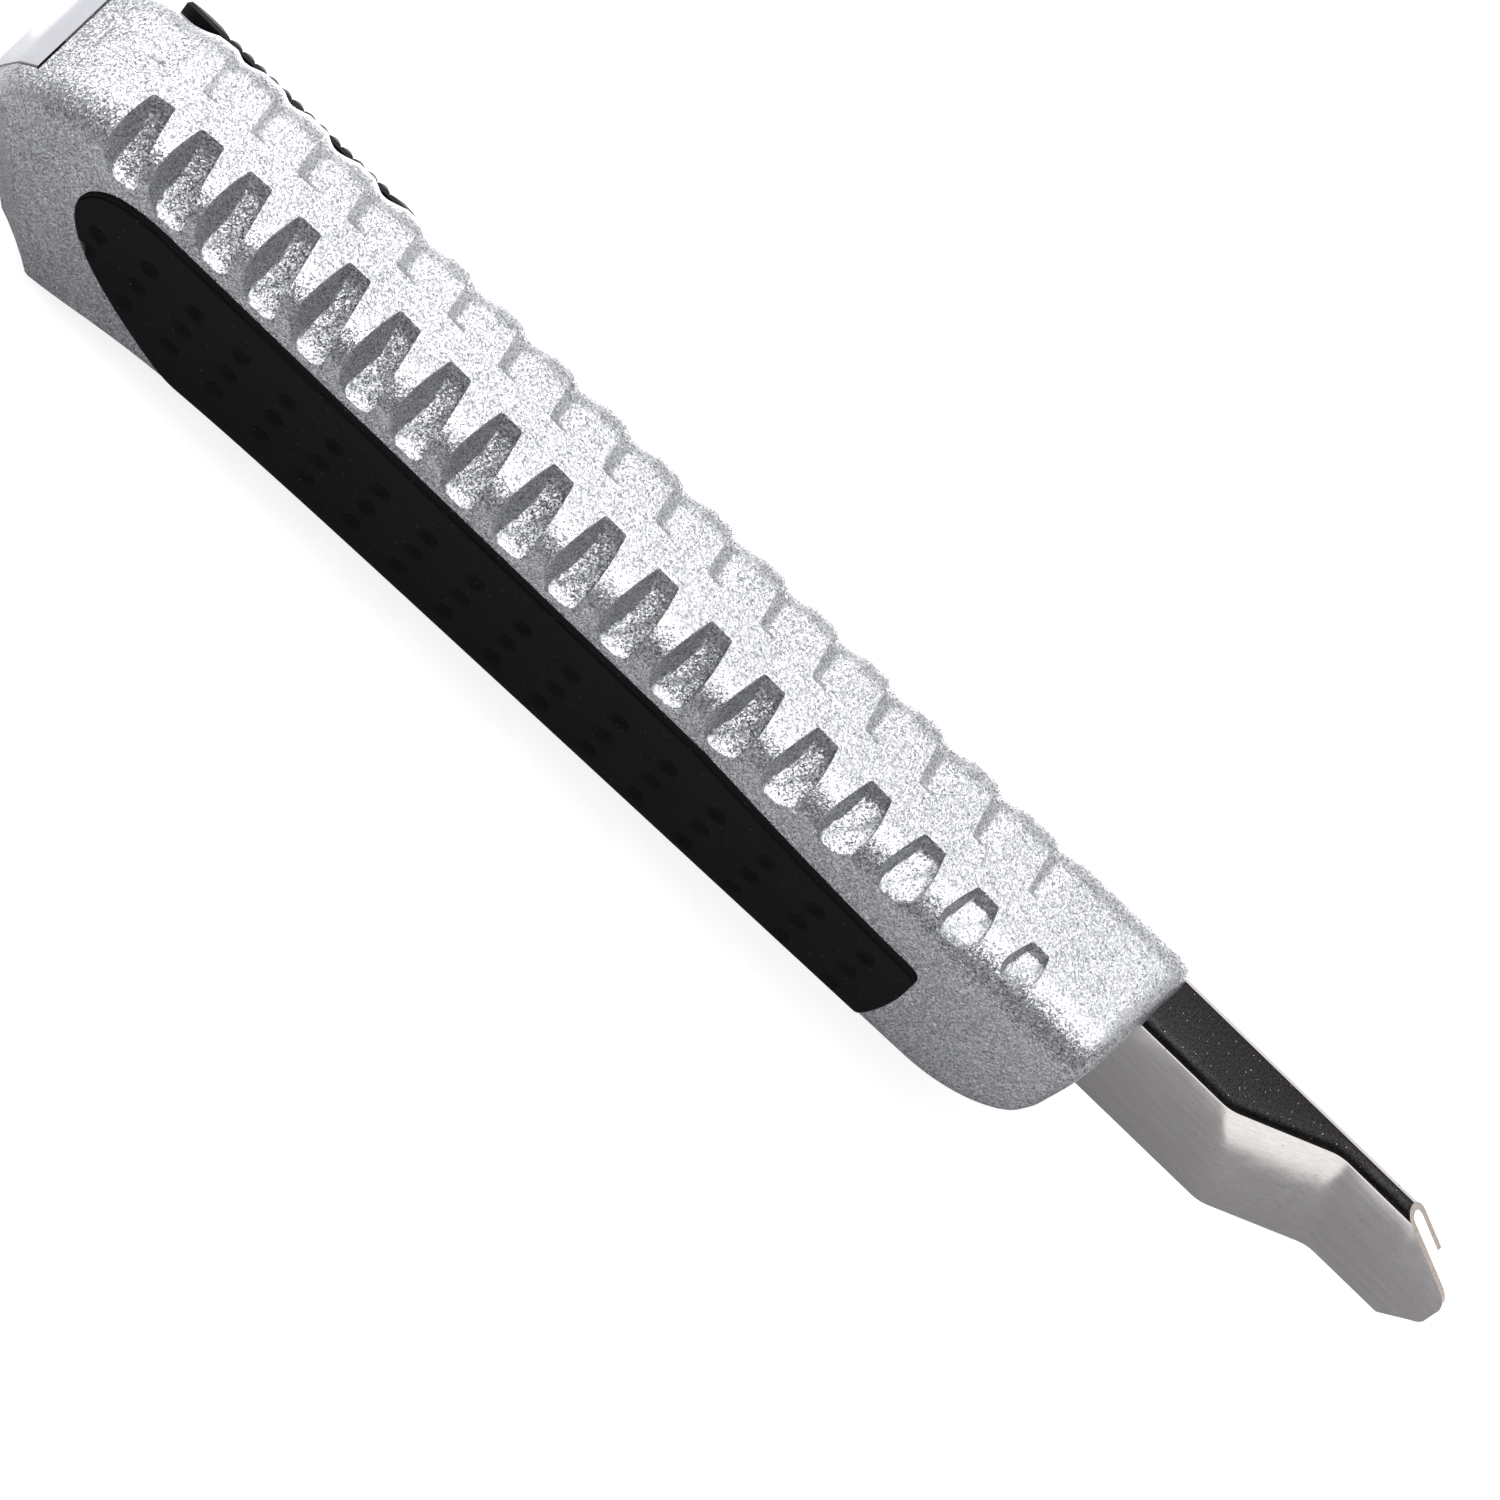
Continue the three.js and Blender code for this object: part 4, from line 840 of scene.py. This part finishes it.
def sliderSlot():
    outline = roundedBox((slider["slotFrom"], slider["z"] - slider["slotHalf"]),
                         (slider["slotTo"], slider["z"] + slider["slotHalf"]), slider["slotR"])
    return prism("slot", outline, 1, slider["slotFloor"], outside["thumb"])


def block(name, x, y, z):
    return prism(name, [(x[0], z[0]), (x[1], z[0]), (x[1], z[1]), (x[0], z[1])], 1, y[0], y[1])


# A piece takes the place of its node: it rides the same body.
def takesOver(piece, node, rides, slot, *materials):
    if not any(piece.data.materials):
        piece.data.materials.clear()
        for material in materials:
            piece.data.materials.append(material)
    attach(piece, rides)
    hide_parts(node)
    piece.data.calc_loop_triangles()
    print(piece.name, "made:", len(piece.data.loop_triangles), "triangles")


bodyPiece = buildBody("bodyShell")
capPiece = placed("capSkin", bodyPiece.data.copy())
roomFloor, roofStart = channel["lowZ"] - 0.25, cap["roof"][0][1]
roomOutline = [(outside["tail"], roomFloor), (channel["rearX"], roomFloor), *cap["roof"][::-1],
               (outside["tail"], roofStart)]
tailRoom = prism("tailRoom", roomOutline, 1, *cap["roomY"])
cut(bodyPiece, [passage(), tailRoom, sliderSlot(), inlayRecess(), capSeat(cap["gap"], "seat")])
smoothed(bodyPiece, 34)
takesOver(bodyPiece, "body_casting", "knife_body", "cast_paint", flakeLacquer())


# The end cap is the same form as the body's tail, with a plug inside it that is slotted for
# the clip.
def plug():
    low, top = roomFloor + cap["gap"], roofStart - 0.2
    outline = [(tailSlant(low, cap["plugInset"]), low), (cap["plugFront"], low), (cap["plugFront"], top),
               (cap["frontX"], top), (tailSlant(cap["breakZ"], cap["plugInset"]), cap["breakZ"])]
    return prism("plug", outline, 1, cap["roomY"][0] + 0.12, cap["roomY"][1] - 0.12)


cut(capPiece, [capSeat(0, "capForm")], "INTERSECT")
cut(capPiece, [plug()], "UNION")
cut(capPiece, [block("clipSlot", (-4, 2), (2.9, 3.9), (0.2, 6.6))])
smoothed(capPiece, 40)
takesOver(capPiece, "end_cap", "tail_cap", "cap_plastic", moulded("silverAbs"))


# The rubber inlay: a closed skin between the upper and the lower edge of its leaf shape. The
# face follows the body's side and bends under at the belly. Its own relief is a bead and a
# groove along the upper edge and rows of oval dimples.
grip = {"face": 0.2, "bead": 0.1, "beadWidth": 0.75, "groove": 0.3, "grooveAt": 1.0, "roll": 0.3,
        "dimpleLong": 1.12, "dimpleShort": 1.2, "dimpleDepth": 0.6, "rowStart": 10.07, "rowPitch": 5.925,
        "rowGrowth": 0.026, "rows": 17, "heights": (2.45, -2.06, -6.56), "firstHeights": (0.1, -3.7),
        "columns": 430}


# An edge as evenly spaced points, starting just past the leaf's tip.
def resampled(line, count):
    step = np.concatenate([[0], np.cumsum(np.linalg.norm(np.diff(line, axis=0), axis=1))])
    at = np.linspace(step[-1] * 0.002, step[-1], count)
    return np.stack([np.interp(at, step, line[:, k]) for k in range(2)], axis=1)


def buildInlay(name):
    upperEdge, lowerEdge = (resampled(edge, grip["columns"]) for edge in inlayEdges())
    across = np.concatenate([[0, 0.004, 0.01, 0.02, 0.03, 0.04, 0.05, 0.06, 0.075],
                             np.linspace(0.09, 0.96, 74), [0.975, 0.986, 0.995, 1.0]])[:, None]
    x, z = (upperEdge[:, k] * (1 - across) + lowerEdge[:, k] * across for k in (0, 1))
    x = x + inlay["noseBulge"] * 4 * across * (1 - across) * ease(x, 90, 116)
    tall = np.linalg.norm(upperEdge - lowerEdge, axis=1)
    fromUpper = across * tall
    steps = np.linalg.norm(np.diff((upperEdge + lowerEdge) / 2, axis=0), axis=1)
    fromNose = np.concatenate([np.cumsum(steps[::-1])[::-1], [0]])
    fromEdge = np.minimum(np.minimum(fromUpper, (1 - across) * tall), fromNose[None, :])
    # relief = bead - groove - dimples - a rounded rim
    relief = grip["bead"] * np.exp(-((fromUpper - grip["beadWidth"] / 2) / 0.25) ** 4)
    relief = relief - grip["groove"] * np.exp(-((fromUpper - grip["grooveAt"]) / 0.2) ** 2)
    for row in range(grip["rows"]):
        rowX = grip["rowStart"] + grip["rowPitch"] * row + grip["rowGrowth"] * row ** 2
        for height in grip["heights"] if row else grip["firstHeights"]:
            away = ((x - rowX) / grip["dimpleLong"]) ** 2 + ((z - height) / grip["dimpleShort"]) ** 2
            relief = relief - grip["dimpleDepth"] * np.clip(1 - away, 0, 1) ** 0.7
    rolled = np.clip(1 - fromEdge / grip["roll"], 0, 1)
    relief = relief - grip["roll"] * (1 - np.sqrt(np.maximum(0, 1 - rolled ** 2)))
    front, back = (np.stack([x, rubberSideY(x, z, grow), z], axis=2)
                   for grow in (grip["face"] + relief, -inlay["depth"]))
    lowerSide, upperSide = (front[rows] * 0.5 + back[rows] * 0.5 for rows in (slice(-1, None), slice(0, 1)))
    return tube(name, np.concatenate([front, lowerSide, back[::-1], upperSide]), True)


inlayPiece = smoothed(buildInlay("gripInlay"), 50)
takesOver(inlayPiece, "grip_inlay", "knife_body", "grip_rubber", moulded("mouldedRubber"))


# The channel is folded from one strip: web, two narrow walls and two lips. The section runs
# round the outside and back along the inside.
def sheetSection():
    y0, y1, z0, z1 = channel["webY"], channel["lipY"], channel["lowZ"], channel["topZ"]
    r, sheet, lip = channel["bendR"], channel["sheet"], channel["lipWidth"]
    corners = [(y1 - r, z0 + r), (y0 + r, z0 + r), (y0 + r, z1 - r), (y1 - r, z1 - r)]
    outer = [arc(corner, r, turn, turn - 90) for corner, turn in zip(corners, (0, -90, 180, 90))]
    inner = [arc(corner, r - sheet, turn, turn + 90)
             for corner, turn in zip(corners[::-1], (0, 90, 180, -90))]
    return (np.vstack([[(y1, z0 + lip)], *outer, [(y1, z1 - lip)]]),
            np.vstack([[(y1 - sheet, z1 - lip)], *inner, [(y1 - sheet, z0 + lip)]]))


# Gives a piece the strip's three finishes, with one index for each face.
def stripFaces(piece, index):
    for material in stripMaterials:
        piece.data.materials.append(material)
    piece.data.polygons.foreach_set("material_index", index.astype(np.int32))
    return piece


# At the nose the web steps towards the lips along a slanted line: a straight ramp with a soft
# bend at each end.
def buildChannel(name):
    around, back = sheetSection()
    section = np.vstack([around, back])
    start, length, bend = channel["joggleX"], channel["joggleLength"], channel["bend"]
    stations = np.concatenate([[0, 60, 120, 140], np.linspace(start - 2.5, start + length + 2.5, 60),
                               [172, 180, 200]])
    x = stations[None, :] - channel["slant"] * (section[:, 1:] - (channel["lowZ"] + channel["topZ"]) / 2)
    part = np.clip((stations - start) / length, 0, 1)
    lastBend = 1 - bend - (1 - part) ** 2 / (2 * bend)
    ramp = np.where(part > 1 - bend, lastBend, part - bend / 2)
    ramp = np.where(part < bend, part ** 2 / (2 * bend), ramp) / (1 - bend)
    webEnd = channel["webY"] + channel["bendR"]
    onWeb = 1 - ease(section[:, :1], webEnd, webEnd + 0.01)
    y = section[:, :1] + channel["joggleRise"] * ramp[None, :] * onWeb
    piece = tube(name, np.stack([x, y, section[:, 1:] + 0 * x], axis=2))
    # the spine-side wall with its bend and the lower wall have their own finish outside: a near-black colour
    # that is painted dark reflection, with painted glints
    wall = (section[:, 1] + np.roll(section[:, 1], -1)) / 2
    webBend = (wall > channel["topZ"] - channel["bendR"] + 0.2) & (section[:, 0] < webEnd + 0.1)
    isWall = (wall > channel["topZ"] - 0.02) | (wall < channel["lowZ"] + 0.02) | webBend
    isWall = isWall & (np.arange(len(section)) < len(around))
    return stripFaces(piece, np.concatenate([np.repeat(isWall, len(stations) - 1), [0, 0]]))


# Cut faces take the third finish, the sheared edge.
def sheared(cutter):
    return stripFaces(cutter, np.full(len(cutter.data.polygons), 2))


# All that lies in front of the channel's slanting end with its rounded tip.
def noseShear():
    outline = np.vstack([[(160.6, 19.9), (174.8, 9.4)], bow((174.8, 9.4), (177, 7.8), (177.1, 5.4))[1:],
                         bow((177.4, 2.4), (177.4, 1.4), (176.7, 0.6)),
                         [(173.5, -4.6), (outside["nose"], -4.6), (outside["nose"], 19.9)]])
    return prism("noseShear", outline, 1, -2, 9)


# Notches in the edges of both lips, which the lock plate falls into.
notch = {"first": 15.0, "pitch": 5.0, "count": 19, "length": 2.4, "depth": 1.3, "beyond": 1}


def notchCutters():
    low, high = channel["lowZ"] + channel["lipWidth"], channel["topZ"] - channel["lipWidth"]
    heights = [(low - notch["depth"], low + notch["beyond"]), (high - notch["beyond"], high + notch["depth"])]
    thick = (channel["lipY"] - 0.7, channel["lipY"] + notch["beyond"])
    return [sheared(block("notch", (x - notch["length"] / 2, x + notch["length"] / 2), thick, z))
            for x in notch["first"] + notch["pitch"] * np.arange(notch["count"]) for z in heights]


def pinHole(x):
    circle = arc((x, channel["pinZ"]), channel["pinHoleR"], 0, 360, 32)[:-1]
    return prism("pinHole", circle, 1, -2, 2.1)


stripMaterials = [metalFinish(name) for name in ("nickelStrip", "drawnWallPaintedDark", "shearedEdge")]
channelPiece = buildChannel("bladeChannel")
cutters = [noseShear(), block("rearShear", (-10, channel["rearX"]), (-2, 9), (-9, outside["spine"]))]
cutters = [sheared(cutter) for cutter in cutters] + notchCutters()
cut(channelPiece, cutters + [sheared(pinHole(x)) for x in channel["pinX"]])
smoothed(channelPiece, 35)
takesOver(channelPiece, "blade_channel", "knife_body", "channel_steel", *stripMaterials)

# The other nodes have their right shape already: real materials, and small bevels on some.
finishes = {
    "groundBladeSteel": ("blade", "spare_blade_1", "spare_blade_2"),
    "pressedZincPlate": ("carrier_plate", "follower_plate", "lock_plate"),
    "temperedSpring": ("magazine_spring", "pad_spring", "cap_clip"),
    "turnedSteel": ("channel_pin_front", "channel_pin_rear", "blade_stud", "slider_rivet_rear",
                    "slider_rivet_front"),
    "satinNylon": ("thumb_pad",),
    "blackAcetal": ("slider_block",),
}
softEdge = {"nodes": ("thumb_pad", "slider_block", "carrier_plate", "lock_plate"), "widthMm": 0.15,
            "segments": 2, "degrees": 35}
for name, nodes in finishes.items():
    material = metalFinish(name) if name in metals else moulded(name)
    for node in nodes:
        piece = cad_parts[node]
        piece.material_slots[0].material = material
        if node in softEdge["nodes"]:
            bevel = piece.modifiers.new("softEdge", "BEVEL")
            bevel.width = softEdge["widthMm"] / 1000
            bevel.segments = softEdge["segments"]
            bevel.limit_method = "ANGLE"
            bevel.angle_limit = math.radians(softEdge["degrees"])
print("materials given to", sum(len(nodes) for nodes in finishes.values()), "kept nodes")

bpy.context.scene.view_settings.view_transform = "Standard"
